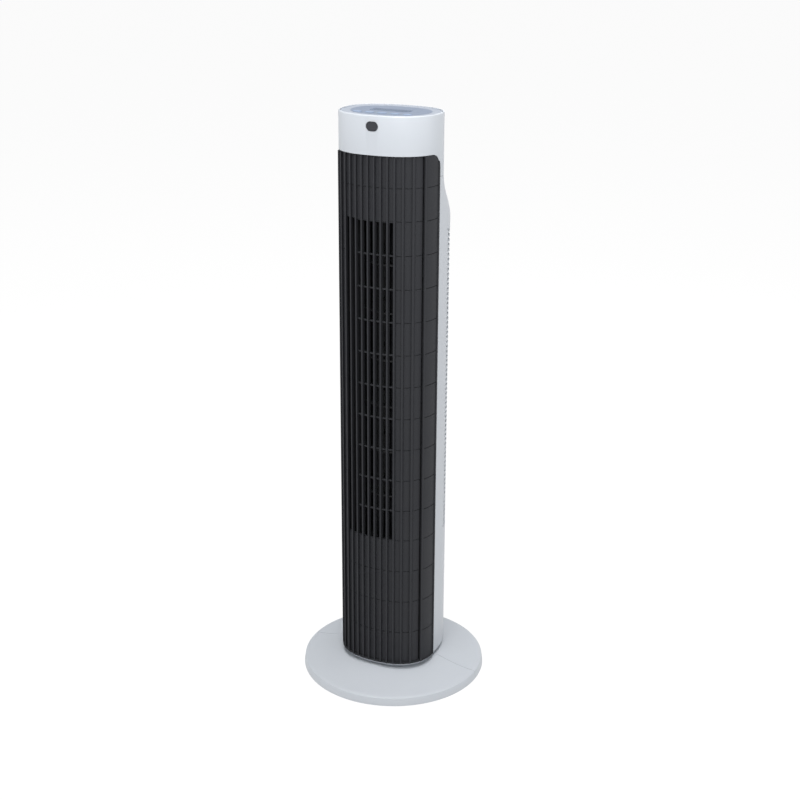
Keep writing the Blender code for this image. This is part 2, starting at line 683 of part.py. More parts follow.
def make_gland():
    """Cord gland low in the back of the tower."""
    outside = back_face_y(0.0, GLAND_Z)
    gland = gland_barrel("cord_gland", GLAND_RADIUS, outside - SKIN - GLAND_LENGTH / 2,
                         outside + CLEAR + GLAND_FLANGE_HEIGHT / 2, "tower_fan")
    flange = gland_barrel("gland_flange", GLAND_FLANGE, outside + CLEAR,
                          outside + CLEAR + GLAND_FLANGE_HEIGHT)
    bore = gland_barrel("gland_bore", GLAND_RADIUS / 2, outside - GLAND_LENGTH, outside + GLAND_LENGTH)
    boolean(gland, flange, "UNION")
    boolean(gland, bore, "DIFFERENCE")
    finish(smooth(gland), "rubber")


# ---------------------------------------------------------------- housings
def shell(name, levels):
    """Thin wall that follows the outline through the levels, open in front of the seams."""
    outer = [(0.0, z) for z in levels]
    inner = [(SKIN, z) for z in reversed(levels)]
    wall = swept_wall(name, outer + inner)
    return boolean(wall, front_cutter("front_open_" + name, 0.0), "DIFFERENCE")


def make_rear_shoulder():
    """White shell between the rear housing and the head, with the hole for the finger recess."""
    levels = [SHOULDER_SEAM + CLEAR] + shoulder_levels()[:-1] + [HEAD_BOTTOM - CLEAR]
    wall = shell("rear_shoulder", levels)
    boolean(wall, handle_block("handle_hole", CLEAR), "DIFFERENCE")
    finish(smooth(wall), "white_plastic")


def make_rear_housing():
    """White shell: both sides and the back, up to the shoulder."""
    housing = shell("rear_housing", [TOWER_BOTTOM, SHOULDER_SEAM])
    window = box("intake_window", (-1, INTAKE_Y, INTAKE_BOTTOM), (1, 1, INTAKE_TOP), "cutters")
    boolean(housing, window, "DIFFERENCE")
    outside = back_face_y(0.0, GLAND_Z)
    hole = gland_barrel("gland_hole", GLAND_RADIUS + CLEAR, outside - 2 * SKIN, outside + 2 * SKIN)
    boolean(housing, hole, "DIFFERENCE")
    boolean(housing, rear_screw_holes(), "DIFFERENCE")
    finish(smooth(housing), "white_plastic")


def front_cutter(name, margin):
    """Block in front of the side seams, with round upper corners; margin shrinks it."""
    seam, top = SEAM_Y - margin, GRILLE_TOP - margin
    radius = CORNER_RADIUS - margin
    low, far = -TOWER_BOTTOM, SEAM_Y - 2 * FRONT_DEPTH
    side = [(far, low), (seam, low), (seam, top - radius)]
    for step in range(1, 7):
        angle = math.pi / 2 * step / 6
        side.append((seam - radius + radius * math.cos(angle), top - radius + radius * math.sin(angle)))
    side.append((far, top))
    bm = bmesh.new()
    reach = 2 * TOWER_HALF_WIDTH
    face = bm.faces.new([bm.verts.new((-reach, y, z)) for y, z in side])
    grown = bmesh.ops.extrude_face_region(bm, geom=[face])
    moved = [item for item in grown["geom"] if isinstance(item, bmesh.types.BMVert)]
    bmesh.ops.translate(bm, vec=(2 * reach, 0, 0), verts=moved)
    return add_object(name, bm, "cutters")


def handle_block(name, margin, collection="cutters"):
    """Outer block of the finger recess."""
    low = (-HANDLE_HALF_WIDTH - margin, HANDLE_FRONT - margin, HANDLE_BOTTOM - margin)
    high = (HANDLE_HALF_WIDTH + margin, HANDLE_FRONT + 2 * BACK_DEPTH, HANDLE_TOP + margin)
    return box(name, low, high, collection)


def make_handle_cup():
    """Finger recess for carrying, cut off flush with the sloping back."""
    cup = handle_block("handle_cup", 0.0, "tower_fan")
    inside = handle_block("handle_inside", -HANDLE_WALL)
    levels = [TOWER_BOTTOM] + shoulder_levels()
    boolean(cup, inside, "DIFFERENCE")
    boolean(cup, outline_solid("tower_shape", 0.0, levels), "INTERSECT")
    finish(cup, "white_plastic")


def rear_screw_places():
    """Two columns of screws in the lower back."""
    for z in REAR_SCREW_LEVELS:
        for x in (-REAR_SCREW_X, REAR_SCREW_X):
            yield x, back_face_y(REAR_SCREW_X + SCREW_HEAD_RADIUS, z) - CLEAR, z


def rear_screw_holes():
    """Round holes for the screw heads in the housing."""
    bm = bmesh.new()
    for x, y, z in rear_screw_places():
        radius = SCREW_HEAD_RADIUS + CLEAR
        made = bmesh.ops.create_cone(bm, cap_ends=True, segments=12, radius1=radius, radius2=radius,
                                     depth=6 * SKIN)
        for vert in made["verts"]:
            vert.co = Vector((x + vert.co.x, y + vert.co.z, z + vert.co.y))
    return add_object("rear_screw_holes", bm, "cutters")


def make_rear_screws():
    """Screws that hold the rear housing."""
    for number, (x, y, z) in enumerate(rear_screw_places()):
        screw("housing_screw_%d" % (number + 1), (x, y - SCREW_HEAD_HEIGHT, z), Vector((0, -1, 0)),
              REAR_SCREW_LENGTH)


def grille_columns():
    """Angles of the grille's column lines, and which columns are slots."""
    seam = side_angle_at_y(SEAM_Y - CLEAR)
    pitch = (OPENING_RIGHT - OPENING_LEFT) / SLOT_COUNT
    lines, slots = [], set()
    for slot in range(SLOT_COUNT):
        left = OPENING_LEFT + pitch * slot + RIB_WIDTH / 2
        slots.add(SIDE_COLUMNS + 2 * slot)
        lines += [front_angle_at_x(left), front_angle_at_x(left + pitch - RIB_WIDTH)]
    start, end = math.pi + seam, math.tau - seam
    before = [start + (lines[0] - start) * step / SIDE_COLUMNS for step in range(SIDE_COLUMNS)]
    after = [lines[-1] + (end - lines[-1]) * (step + 1) / SIDE_COLUMNS for step in range(SIDE_COLUMNS)]
    return before + lines + after, slots


def make_front_grille():
    """Dark front shell: slots between upright ribs, crossed by thin bars."""
    angles, slots = grille_columns()
    pitch = (OPENING_TOP - OPENING_BOTTOM) / ROW_COUNT
    levels, rows = [TOWER_BOTTOM], set()
    for row in range(ROW_COUNT):
        low = OPENING_BOTTOM + pitch * row + BAR_HEIGHT / 2
        rows.add(len(levels))
        levels += [low, low + pitch - BAR_HEIGHT]
    levels.append(GRILLE_TOP - CORNER_RADIUS - UPPER_STRIP)
    levels.append(GRILLE_TOP - CLEAR)
    grille = slotted_panel("front_grille", angles, levels,
                           lambda column, row: column in slots and row in rows,
                           GRILLE_PROUD, GRILLE_WALL)
    boolean(grille, front_cutter("front_open_grille", 2 * CLEAR), "INTERSECT")
    finish(smooth(grille), "dark_plastic")


def make_intake_grille():
    """White louvred panel in the back."""
    start = side_angle_at_y(INTAKE_Y - INTAKE_WALL)
    group_turn = (math.pi - 2 * start - (INTAKE_GROUPS + 1) * INTAKE_BAR_TURN) / INTAKE_GROUPS
    angles, open_columns = [start], set()
    for _ in range(INTAKE_GROUPS):
        angles.append(angles[-1] + INTAKE_BAR_TURN)
        for _ in range(INTAKE_GROUP_COLUMNS):
            open_columns.add(len(angles) - 1)
            angles.append(angles[-1] + group_turn / INTAKE_GROUP_COLUMNS)
    angles.append(angles[-1] + INTAKE_BAR_TURN)
    bottom, top = INTAKE_BOTTOM + CLEAR, INTAKE_TOP - CLEAR
    step = (top - bottom) / (2 * INTAKE_SLOTS + 1)
    levels = [bottom + step * index for index in range(2 * INTAKE_SLOTS + 2)]
    panel = slotted_panel("intake_grille", angles, levels,
                          lambda column, row: column in open_columns and row % 2 == 1,
                          0.0, INTAKE_WALL)
    trim = box("intake_trim", (-1, INTAKE_Y + CLEAR, 0), (1, 1, 1), "cutters")
    boolean(panel, trim, "INTERSECT")
    finish(smooth(panel), "white_plastic")


# ---------------------------------------------------------------- head
def head_section():
    """Wall section of the head: outside up, over the rim, down to the panel's ledge, inside down."""
    drop = HEAD_RIM
    return [
        (0.0, HEAD_BOTTOM), (0.0, TOTAL_HEIGHT - HEAD_EDGE),
        (HEAD_EDGE * (1 - COS_30), TOTAL_HEIGHT - HEAD_EDGE / 2),
        (HEAD_EDGE / 2, TOTAL_HEIGHT - HEAD_EDGE * (1 - COS_30)),
        (HEAD_EDGE, TOTAL_HEIGHT), (drop, TOTAL_HEIGHT), (drop, LEDGE_TOP),
        (drop + LEDGE_WIDTH, LEDGE_TOP), (drop + LEDGE_WIDTH, LEDGE_TOP - SKIN),
        (SKIN, LEDGE_TOP - SKIN), (SKIN, HEAD_BOTTOM)]


def window_bar(name, margin, front, back, collection="cutters"):
    """Round-ended bar along Y for the receiver window in the head's front."""
    bm = bmesh.new()
    outline = round_end_slot(WINDOW_HALF_LENGTH + margin, WINDOW_HALF_HEIGHT + margin, 0.0, WINDOW_Z)
    face = bm.faces.new([bm.verts.new((x, front, z)) for x, z in outline])
    grown = bmesh.ops.extrude_face_region(bm, geom=[face])
    moved = [item for item in grown["geom"] if isinstance(item, bmesh.types.BMVert)]
    bmesh.ops.translate(bm, vec=(0, back - front, 0), verts=moved)
    return add_object(name, bm, collection)


def make_head():
    """White head: closed round the top, open below."""
    head = swept_wall("head_cap", head_section())
    boolean(head, front_cutter("front_open_head", 0.0), "DIFFERENCE")
    front = TOWER_MIDDLE - FRONT_DEPTH
    hole = window_bar("window_hole", CLEAR, front - WINDOW_CUT, front + WINDOW_CUT)
    boolean(head, hole, "DIFFERENCE")
    finish(smooth(head), "white_plastic")
    lens = window_bar("ir_window", 0.0, front + CLEAR, front + SKIN + WINDOW_BACK, "tower_fan")
    finish(smooth(lens), "dark_lens")


def make_control_panel():
    """Inset panel on top, with openings for the buttons and the display."""
    panel = prism("control_panel", plan(PANEL_TOP, HEAD_RIM + CLEAR), PANEL_BOTTOM, PANEL_TOP)
    for number in range(BUTTON_COUNT):
        hole = prism("button_hole_%d" % number,
                     round_end_slot(BUTTON_HALF_LENGTH + CLEAR, BUTTON_HALF_WIDTH + CLEAR,
                                    button_x(number), BUTTON_Y),
                     PANEL_BOTTOM - CUT_PAST, PANEL_TOP + CUT_PAST, "cutters")
        boolean(panel, hole, "DIFFERENCE")
    reach = (DISPLAY_HALF_LENGTH + CLEAR, DISPLAY_HALF_WIDTH + CLEAR)
    hole = box("display_hole", (-reach[0], DISPLAY_Y - reach[1], PANEL_BOTTOM - CUT_PAST),
               (reach[0], DISPLAY_Y + reach[1], PANEL_TOP + CUT_PAST), "cutters")
    boolean(panel, hole, "DIFFERENCE")
    finish(smooth(panel), "panel_film")
    lens = box("display_lens", (-DISPLAY_HALF_LENGTH, DISPLAY_Y - DISPLAY_HALF_WIDTH, PANEL_BOTTOM),
               (DISPLAY_HALF_LENGTH, DISPLAY_Y + DISPLAY_HALF_WIDTH, PANEL_TOP))
    finish(lens, "dark_lens")


def button_x(number):
    """Middle of a button, counted from the left."""
    return BUTTON_PITCH * (number - (BUTTON_COUNT - 1) / 2)


def make_buttons():
    """Five push buttons: a cap through the panel and a flange below it."""
    for number, word in enumerate(BUTTON_NAMES):
        x = button_x(number)
        outline = round_end_slot(BUTTON_HALF_LENGTH, BUTTON_HALF_WIDTH, x, BUTTON_Y)
        wider = round_end_slot(BUTTON_HALF_LENGTH + BUTTON_FLANGE, BUTTON_HALF_WIDTH + BUTTON_FLANGE,
                               x, BUTTON_Y)
        cap = prism("button_" + word, outline, FLANGE_BOTTOM, PANEL_TOP + BUTTON_PROUD)
        flange = prism("button_flange_" + word, wider, FLANGE_BOTTOM, FLANGE_TOP, "cutters")
        boolean(cap, flange, "UNION")
        finish(smooth(cap), "button_plastic")


def make_control_board():
    """Circuit board under the panel, with one switch below each button."""
    board = prism("control_board", plan(BOARD_TOP, BOARD_INSET), BOARD_TOP - BOARD_THICKNESS, BOARD_TOP)
    finish(smooth(board), "circuit_board")
    half = SWITCH_SIZE / 2
    for number, word in enumerate(BUTTON_NAMES):
        x = button_x(number)
        switch = box("switch_" + word, (x - half, BUTTON_Y - half, BOARD_TOP + CLEAR),
                     (x + half, BUTTON_Y + half, SWITCH_TOP))
        finish(switch, "dark_plastic")


# ---------------------------------------------------------------- fan motor, impeller, air guides
def make_fan_motor():
    """Motor case with the rotor inside, hung under its bracket."""
    x, y = FAN_AXIS
    bore = SHAFT_RADIUS + RUN_CLEAR
    inside = MOTOR_RADIUS - MOTOR_WALL
    profile = [
        (bore, MOTOR_TOP), (MOTOR_RADIUS, MOTOR_TOP), (MOTOR_RADIUS, MOTOR_BOTTOM),
        (bore, MOTOR_BOTTOM), (bore, MOTOR_BOTTOM + MOTOR_WALL), (inside, MOTOR_BOTTOM + MOTOR_WALL),
        (inside, MOTOR_TOP - MOTOR_WALL), (bore, MOTOR_TOP - MOTOR_WALL)]
    finish(smooth(turned("fan_motor_case", profile, x, y, 32)), "motor_steel")
    stator = ring("motor_stator", ROTOR_RADIUS + RUN_CLEAR, inside - CLEAR, MOTOR_BOTTOM + ROTOR_END_GAP,
                  MOTOR_TOP - ROTOR_END_GAP, x, y, 32)
    finish(smooth(stator), "motor_steel")
    rotor = ring("motor_rotor", SHAFT_RADIUS + CLEAR, ROTOR_RADIUS, MOTOR_BOTTOM + ROTOR_END_GAP,
                 MOTOR_TOP - ROTOR_END_GAP, x, y)
    finish(smooth(rotor), "motor_steel")
    shaft = cylinder("motor_shaft", SHAFT_RADIUS, MOTOR_BOTTOM - SHAFT_TAIL,
                     IMPELLER_BOTTOM + HUB_HEIGHT - SHAFT_SHORT / 2, x, y, 16)
    finish(smooth(shaft), "steel")


def make_brackets():
    """Plates that carry the motor below and the bush above."""
    x, y = FAN_AXIS
    low = MOTOR_TOP + CLEAR
    plates = (("motor_bracket", low, SHAFT_RADIUS + BRACKET_HOLE_GAP),
              ("top_bracket", TOP_BRACKET_BOTTOM, BUSH_RADIUS + CLEAR))
    for name, bottom, hole_radius in plates:
        top = bottom + BRACKET_HEIGHT
        plate = prism(name, plan(top, BRACKET_INSET, BRACKET_STEPS), bottom, top)
        hole = cylinder(name + "_hole", hole_radius, bottom - CUT_PAST, top + CUT_PAST, x, y, 24, "cutters")
        boolean(plate, hole, "DIFFERENCE")
        finish(smooth(plate), "dark_plastic")
    bush_top = TOP_BRACKET_MIDDLE + BUSH_HEIGHT / 2
    bush = ring("top_bush", AXLE_RADIUS + CLEAR, BUSH_RADIUS, bush_top - BUSH_HEIGHT, bush_top, x, y)
    finish(smooth(bush), "rubber")
    axle = cylinder("top_axle", AXLE_RADIUS, IMPELLER_TOP - DISC_HEIGHT - AXLE_TAIL, bush_top, x, y, 16)
    finish(smooth(axle), "steel")


def blade_outline(angle):
    """Section of one curved blade, a thin arc from the inner to the outer radius."""
    x, y = FAN_AXIS
    middle = (IMPELLER_INNER + IMPELLER_RADIUS) / 2
    spine = [(IMPELLER_INNER, 0.0), (middle, BLADE_SWEEP * BLADE_BEND),
             (IMPELLER_RADIUS - BLADE_EDGE, BLADE_SWEEP)]
    sides = []
    for half in (-0.5, 0.5):
        for radius, lag in spine:
            turn = angle + lag + half * BLADE_THICKNESS / radius
            sides.append((x + radius * math.cos(turn), y + radius * math.sin(turn)))
    return sides[:3] + sides[:2:-1]


def make_impeller():
    """Cross-flow impeller: curved blades between three discs."""
    x, y = FAN_AXIS
    bm = bmesh.new()
    middle = (IMPELLER_BOTTOM + IMPELLER_TOP) / 2
    levels = (IMPELLER_BOTTOM, middle - DISC_HEIGHT / 2, IMPELLER_TOP - DISC_HEIGHT)
    for bottom in levels:
        cylinder_into(bm, IMPELLER_RADIUS, bottom, bottom + DISC_HEIGHT, x, y, 40)
    impeller = add_object("impeller", bm)
    bm = bmesh.new()
    for number in range(BLADE_COUNT):
        outline = blade_outline(math.tau * number / BLADE_COUNT)
        low = IMPELLER_BOTTOM + DISC_HEIGHT / 2
        face = bm.faces.new([bm.verts.new((px, py, low)) for px, py in outline])
        grown = bmesh.ops.extrude_face_region(bm, geom=[face])
        moved = [item for item in grown["geom"] if isinstance(item, bmesh.types.BMVert)]
        bmesh.ops.translate(bm, vec=(0, 0, IMPELLER_TOP - DISC_HEIGHT / 2 - low), verts=moved)
    blades = add_object("blades", bm, "cutters")
    boolean(impeller, blades, "UNION")
    hub_hole = cylinder("hub_hole", HUB_RADIUS + CLEAR, IMPELLER_BOTTOM - CUT_PAST,
                        IMPELLER_BOTTOM + DISC_HEIGHT + CUT_PAST, x, y, collection="cutters")
    axle_hole = cylinder("axle_hole", AXLE_RADIUS + CLEAR, IMPELLER_TOP - DISC_HEIGHT - CUT_PAST,
                         IMPELLER_TOP + CUT_PAST, x, y, 16, "cutters")
    boolean(impeller, hub_hole, "DIFFERENCE")
    boolean(impeller, axle_hole, "DIFFERENCE")
    finish(smooth(impeller), "impeller_plastic")
    hub = ring("impeller_hub", SHAFT_RADIUS + CLEAR, HUB_RADIUS, IMPELLER_BOTTOM,
               IMPELLER_BOTTOM + HUB_HEIGHT, x, y)
    finish(smooth(hub), "rubber")


def guide(name, path):
    """An upright curved sheet from the lower to the upper disc of the impeller."""
    bm = bmesh.new()
    low = [bm.verts.new((x, y, IMPELLER_BOTTOM)) for x, y in path]
    edges = [bm.edges.new(pair) for pair in zip(low, low[1:])]
    grown = bmesh.ops.extrude_edge_only(bm, edges=edges)
    moved = [item for item in grown["geom"] if isinstance(item, bmesh.types.BMVert)]
    bmesh.ops.translate(bm, vec=(0, 0, IMPELLER_TOP - IMPELLER_BOTTOM), verts=moved)
    sheet = add_object(name, bm)
    thicken = sheet.modifiers.new("thicken", "SOLIDIFY")
    thicken.thickness = GUIDE_WALL
    thicken.offset = 0.0
    thicken.use_even_offset = True
    finish(smooth(sheet), "dark_plastic")


def make_air_guides():
    """Scroll wall on the right of the impeller and the tongue on its left."""
    x, y = FAN_AXIS
    behind = GRILLE_WALL + GUIDE_WALL + GUIDE_GAP
    scroll = []
    for step in range(SCROLL_POINTS):
        turn = math.radians(SCROLL_START - SCROLL_TURN * step)
        radius = IMPELLER_RADIUS + SCROLL_NEAR + SCROLL_STEP * step
        scroll.append((x + radius * math.cos(turn), y + radius * math.sin(turn)))
    right = OPENING_RIGHT + GUIDE_PAST_RIGHT
    scroll.append((right, front_face_y(right, behind)))
    guide("air_guide_scroll", scroll)
    near = IMPELLER_RADIUS + TONGUE_NEAR
    left = OPENING_LEFT - GUIDE_PAST_LEFT
    tongue = [(left, front_face_y(left, behind))]
    for degrees in TONGUE_TURNS:
        turn = math.radians(degrees)
        tongue.append((x + near * math.cos(turn), y + near * math.sin(turn)))
    tongue.append((-TOWER_HALF_WIDTH + TONGUE_END_INSET, TOWER_MIDDLE - TONGUE_END_FRONT))
    guide("air_guide_tongue", tongue)


# ---------------------------------------------------------------- the whole fan
def main():
    empty_scene()
    make_base()
    make_feet()
    make_socket()
    make_socket_screws()
    make_swivel_rings()
    make_crank()
    make_tower_foot()
    make_swing_motor()
    make_capacitor()
    make_gland()
    make_rear_housing()
    make_rear_shoulder()
    make_rear_screws()
    make_handle_cup()
    make_front_grille()
    make_intake_grille()
    make_head()
    make_control_panel()
    make_buttons()
    make_control_board()
    make_fan_motor()
    make_brackets()
    make_impeller()
    make_air_guides()


main()
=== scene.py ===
# %% [markdown]
# # Tower fan
# A slim fan that swings on a round base. The working frame, with its joints, is already made,
# so this notebook only makes what the eye sees: the mouldings, their finishes, and the studio.
# Everything is in metres, the fan blows towards -Y, and the floor is at zero.

import json
import math

import bmesh
import bpy
from mathutils import Matrix, Vector


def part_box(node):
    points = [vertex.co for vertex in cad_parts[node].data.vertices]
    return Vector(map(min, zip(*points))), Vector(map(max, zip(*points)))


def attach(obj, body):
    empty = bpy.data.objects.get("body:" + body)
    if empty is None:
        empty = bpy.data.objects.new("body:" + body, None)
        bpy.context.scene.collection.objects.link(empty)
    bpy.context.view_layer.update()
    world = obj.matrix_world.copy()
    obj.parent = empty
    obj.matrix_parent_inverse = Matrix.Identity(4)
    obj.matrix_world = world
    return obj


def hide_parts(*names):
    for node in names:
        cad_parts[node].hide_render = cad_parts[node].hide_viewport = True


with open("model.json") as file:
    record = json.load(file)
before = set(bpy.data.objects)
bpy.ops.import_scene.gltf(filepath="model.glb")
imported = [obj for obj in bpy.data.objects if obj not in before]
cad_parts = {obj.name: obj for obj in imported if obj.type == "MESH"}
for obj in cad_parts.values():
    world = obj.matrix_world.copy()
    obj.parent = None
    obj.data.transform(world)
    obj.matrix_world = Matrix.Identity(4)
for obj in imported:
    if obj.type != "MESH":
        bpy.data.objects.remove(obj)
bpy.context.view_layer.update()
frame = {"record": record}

# %% [markdown]
# ## Colours and node trees
# Colours are written as sRGB hex, the way a painter's chart gives them, but shaders add light,
# so they need linear values. One function does that sum. A second small function adds a node
# with its settings, values and links, which keeps every material below short enough to read.


# %% Colour and node helpers
def linear(code):
    """An sRGB hex colour as linear red, green, blue and alpha."""
    channels = [int(code[i:i + 2], 16) / 255 for i in (0, 2, 4)]
    light = [c / 12.92 if c <= 0.04045 else ((c + 0.055) / 1.055) ** 2.4 for c in channels]
    return (*light, 1.0)


def add_node(tree, kind, settings=None, values=None, links=None):
    """Add a node, set its settings and socket values, and link other sockets into it."""
    made = tree.nodes.new(kind)
    for name, value in (settings or {}).items():
        setattr(made, name, value)
    for socket, value in (values or {}).items():
        made.inputs[socket].default_value = value
    for socket, source in (links or {}).items():
        tree.links.new(source, made.inputs[socket])
    return made


print("white plastic in linear light:", [round(c, 3) for c in linear("CACFD5")])

# %% [markdown]
# ## One recipe for moulded and pressed surfaces
# A moulded part is never one flat colour. The pigment drifts a little over some centimetres,
# the gloss drifts with how the tool was polished, and spark-eroded tool steel leaves a fine
# grain. The recipe has those three patterns, each from a noise whose scale is one over a real
# size in metres. What is the same all over, such as metallic, is set on the shader itself.


# %% The surface recipe
def surface(name, code, roughness, drift_mm, drift_code, grain_mm, grain_depth_mm, gloss_spread,
            metallic=0.0, ior=1.5, specular=0.5):
    """A material with drifting colour, drifting gloss and a fine grain."""
    material = bpy.data.materials.new(name)
    material.use_nodes = True
    tree = material.node_tree
    shader = tree.nodes["Principled BSDF"]
    place = add_node(tree, "ShaderNodeTexCoord").outputs["Object"]
    drift = add_node(tree, "ShaderNodeTexNoise", values={"Scale": 1000 / drift_mm, "Detail": 3.0},
                     links={"Vector": place})
    colour = add_node(tree, "ShaderNodeMix", {"data_type": "RGBA"}, links={"Factor": drift.outputs["Fac"]})
    colour.inputs["A"].default_value = linear(code)
    colour.inputs["B"].default_value = linear(drift_code)
    gloss = add_node(tree, "ShaderNodeMapRange",
                     values={"To Min": roughness - gloss_spread, "To Max": roughness + gloss_spread},
                     links={"Value": drift.outputs["Fac"]})
    grain = add_node(tree, "ShaderNodeTexNoise", values={"Scale": 1000 / grain_mm, "Detail": 2.0},
                     links={"Vector": place})
    bump = add_node(tree, "ShaderNodeBump", values={"Strength": 0.6, "Distance": grain_depth_mm / 1000},
                    links={"Height": grain.outputs["Fac"]})
    tree.links.new(colour.outputs["Result"], shader.inputs["Base Color"])
    tree.links.new(gloss.outputs["Result"], shader.inputs["Roughness"])
    tree.links.new(bump.outputs["Normal"], shader.inputs["Normal"])
    shader.inputs["Metallic"].default_value = metallic
    shader.inputs["IOR"].default_value = ior
    shader.inputs["Specular IOR Level"].default_value = specular
    material.diffuse_color = linear(code)
    return material


# %% [markdown]
# ## The finishes
# White ABS makes the head, the rear housing and the base: a satin moulding with a fine grain.
# Charcoal ABS makes the front grille, a little rougher, so its ribs show soft grey fronts. The
# top has a printed polyester film, smooth and blue-grey. The receiver window is smoked acrylic
# and the display blue-grey acrylic, both polished. Inside there are black polypropylene, natural
# nylon, rubber, zinc-plated and plain pressed steel, and a green glass-epoxy board.

# %% Make the finishes
moulded_white_abs = surface("moulded_white_abs", "CACFD5", 0.42, 70, "C5CAD1", 0.7, 0.012, 0.03)
moulded_charcoal_abs = surface("moulded_charcoal_abs", "393A3D", 0.52, 45, "35363A", 0.6, 0.02, 0.04,
                               specular=0.12)
printed_grey_film = surface("printed_grey_film", "B0B6C1", 0.38, 60, "AAB2BE", 1.2, 0.004, 0.03)
printed_blue_film = surface("printed_blue_film", "8E99AC", 0.34, 40, "8692A6", 1.2, 0.004, 0.03)
smoked_acrylic = surface("smoked_acrylic", "2E3036", 0.12, 20, "2A2C32", 2.0, 0.001, 0.02, ior=1.49)
tinted_display = surface("tinted_display_acrylic", "76869F", 0.10, 30, "6F8099", 2.0, 0.001, 0.02, ior=1.49)
moulded_grey_abs = surface("moulded_grey_abs", "9DADC6", 0.34, 12, "96A7C1", 0.5, 0.006, 0.03)
moulded_black_pp = surface("moulded_black_polypropylene", "232427", 0.50, 30, "1F2023", 0.8, 0.02, 0.05)
natural_nylon = surface("natural_nylon", "E4E1D8", 0.48, 15, "DDD9CE", 0.9, 0.01, 0.04)
black_rubber = surface("black_nitrile_rubber", "222224", 0.78, 10, "28282B", 0.5, 0.03, 0.06)
zinc_steel = surface("zinc_plated_steel", "B4B6B9", 0.32, 4, "9EA1A6", 0.3, 0.004, 0.06, metallic=1.0)
pressed_steel = surface("pressed_steel_sheet", "8F9296", 0.42, 18, "7F8287", 0.4, 0.008, 0.08, metallic=1.0)
epoxy_board = surface("glass_epoxy_board", "2F6B45", 0.40, 3, "28583A", 0.6, 0.01, 0.05)
print("finishes:", len(bpy.data.materials))

# %% [markdown]
# ## The outline that everything follows
# Seen from above, the tower has a rounded front half and a squarer, deeper back half, and
# higher up the back slopes in to a shorter head. A superellipse gives each half: one power
# makes it fuller or rounder. Every shell below is a circle whose points are carried onto this
# outline, so the point's turn round the circle is kept in a layer of the mesh.

# %% Sizes read from the frame
head_low, head_high = (Vector(corner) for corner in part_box("head_cap"))
shell_low, shell_high = (Vector(corner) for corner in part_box("rear_housing"))
grille_low = Vector(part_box("front_grille")[0])
HALF_WIDTH = head_high.x
MIDDLE = -0.010                # Y of the line where the two halves meet
FRONT_DEPTH = MIDDLE - head_low.y
BACK_DEPTH = shell_high.y - MIDDLE
HEAD_BACK_DEPTH = head_high.y - MIDDLE
FRONT_POWER, BACK_POWER = 2.35, 3.15
HEAD_BOTTOM, HEAD_TOP = head_low.z, head_high.z
SHOULDER_LOW = HEAD_BOTTOM - 0.057
SKIN = 0.0022                  # wall of the white mouldings
GAP = 0.0003                   # hairline between two mouldings
STEPS = 112                    # points round an outline
print("head", round(HEAD_TOP - HEAD_BOTTOM, 4), "m tall at the back, width", round(2 * HALF_WIDTH, 4))


# %% The outline as a function
def shoulder(z):
    """0 on the tower, 1 on the head, and a smooth S between."""
    share = min(max((z - SHOULDER_LOW) / (HEAD_BOTTOM - SHOULDER_LOW), 0.0), 1.0)
    return share * share * (3.0 - 2.0 * share)


def outline(turn, z, inset):
    """A point of the outline; turn 0 is +X and three quarters of a turn is the front."""
    cosine, sine = math.cos(turn), math.sin(turn)
    depth, power = FRONT_DEPTH, FRONT_POWER
    if sine > 0:
        depth = BACK_DEPTH + (HEAD_BACK_DEPTH - BACK_DEPTH) * shoulder(z)
        power = BACK_POWER + (FRONT_POWER - BACK_POWER) * shoulder(z)
    x = (HALF_WIDTH - inset) * math.copysign(abs(cosine) ** (2 / power), cosine)
    y = (depth - inset) * math.copysign(abs(sine) ** (2 / power), sine)
    return Vector((x, MIDDLE + y, z))


def back_y(x, z):
    """Y of the back surface at an X."""
    depth = BACK_DEPTH + (HEAD_BACK_DEPTH - BACK_DEPTH) * shoulder(z)
    power = BACK_POWER + (FRONT_POWER - BACK_POWER) * shoulder(z)
    return MIDDLE + depth * (1.0 - (abs(x) / HALF_WIDTH) ** power) ** (1.0 / power)


# %% [markdown]
# ## Small tools for mesh work
# Three habits repeat. A ring is a circle carried onto the outline, and growing it extrudes its
# edges to a new inset and level. A cut is a Boolean between two meshes, done at once, so no
# helper object is left behind. And a finished mesh becomes a piece: it gets its finish, a fine
# bevel that catches the light on its edges, and the body that it moves with.


# %% Rings on the outline
def only(geometry, kind):
    """The vertices, edges or faces out of an operator's result."""
    return [item for item in geometry if isinstance(item, kind)]


def ring(bm, inset, z, steps=STEPS):
    """A loop of edges on the outline."""
    turn = bm.verts.layers.float.get("turn") or bm.verts.layers.float.new("turn")
    made = bmesh.ops.create_circle(bm, segments=steps, radius=1.0)["verts"]
    for vert in made:
        vert[turn] = math.atan2(vert.co.y, vert.co.x) % math.tau
        vert.co = outline(vert[turn], z, inset)
    return list({edge for vert in made for edge in vert.link_edges})


def grow(bm, edges, inset, z):
    """Extrude a loop and carry the copy to another inset and level."""
    turn = bm.verts.layers.float["turn"]
    made = bmesh.ops.extrude_edge_only(bm, edges=edges)["geom"]
    for vert in only(made, bmesh.types.BMVert):
        vert.co = outline(vert[turn], z, inset)
    return only(made, bmesh.types.BMEdge)


def swept(section):
    """A closed wall: a section of (inset, level) points carried round the outline."""
    bm = bmesh.new()
    first = ring(bm, *section[0])
    last = first
    for inset, z in section[1:]:
        last = grow(bm, last, inset, z)
    bmesh.ops.bridge_loops(bm, edges=first + last)
    return bm


def plate(inset, bottom, top):
    """A flat plate with the tower's outline."""
    bm = bmesh.new()
    low = ring(bm, inset, bottom)
    high = grow(bm, low, inset, top)
    bmesh.ops.edgeloop_fill(bm, edges=low)
    bmesh.ops.edgeloop_fill(bm, edges=high)
    return bm


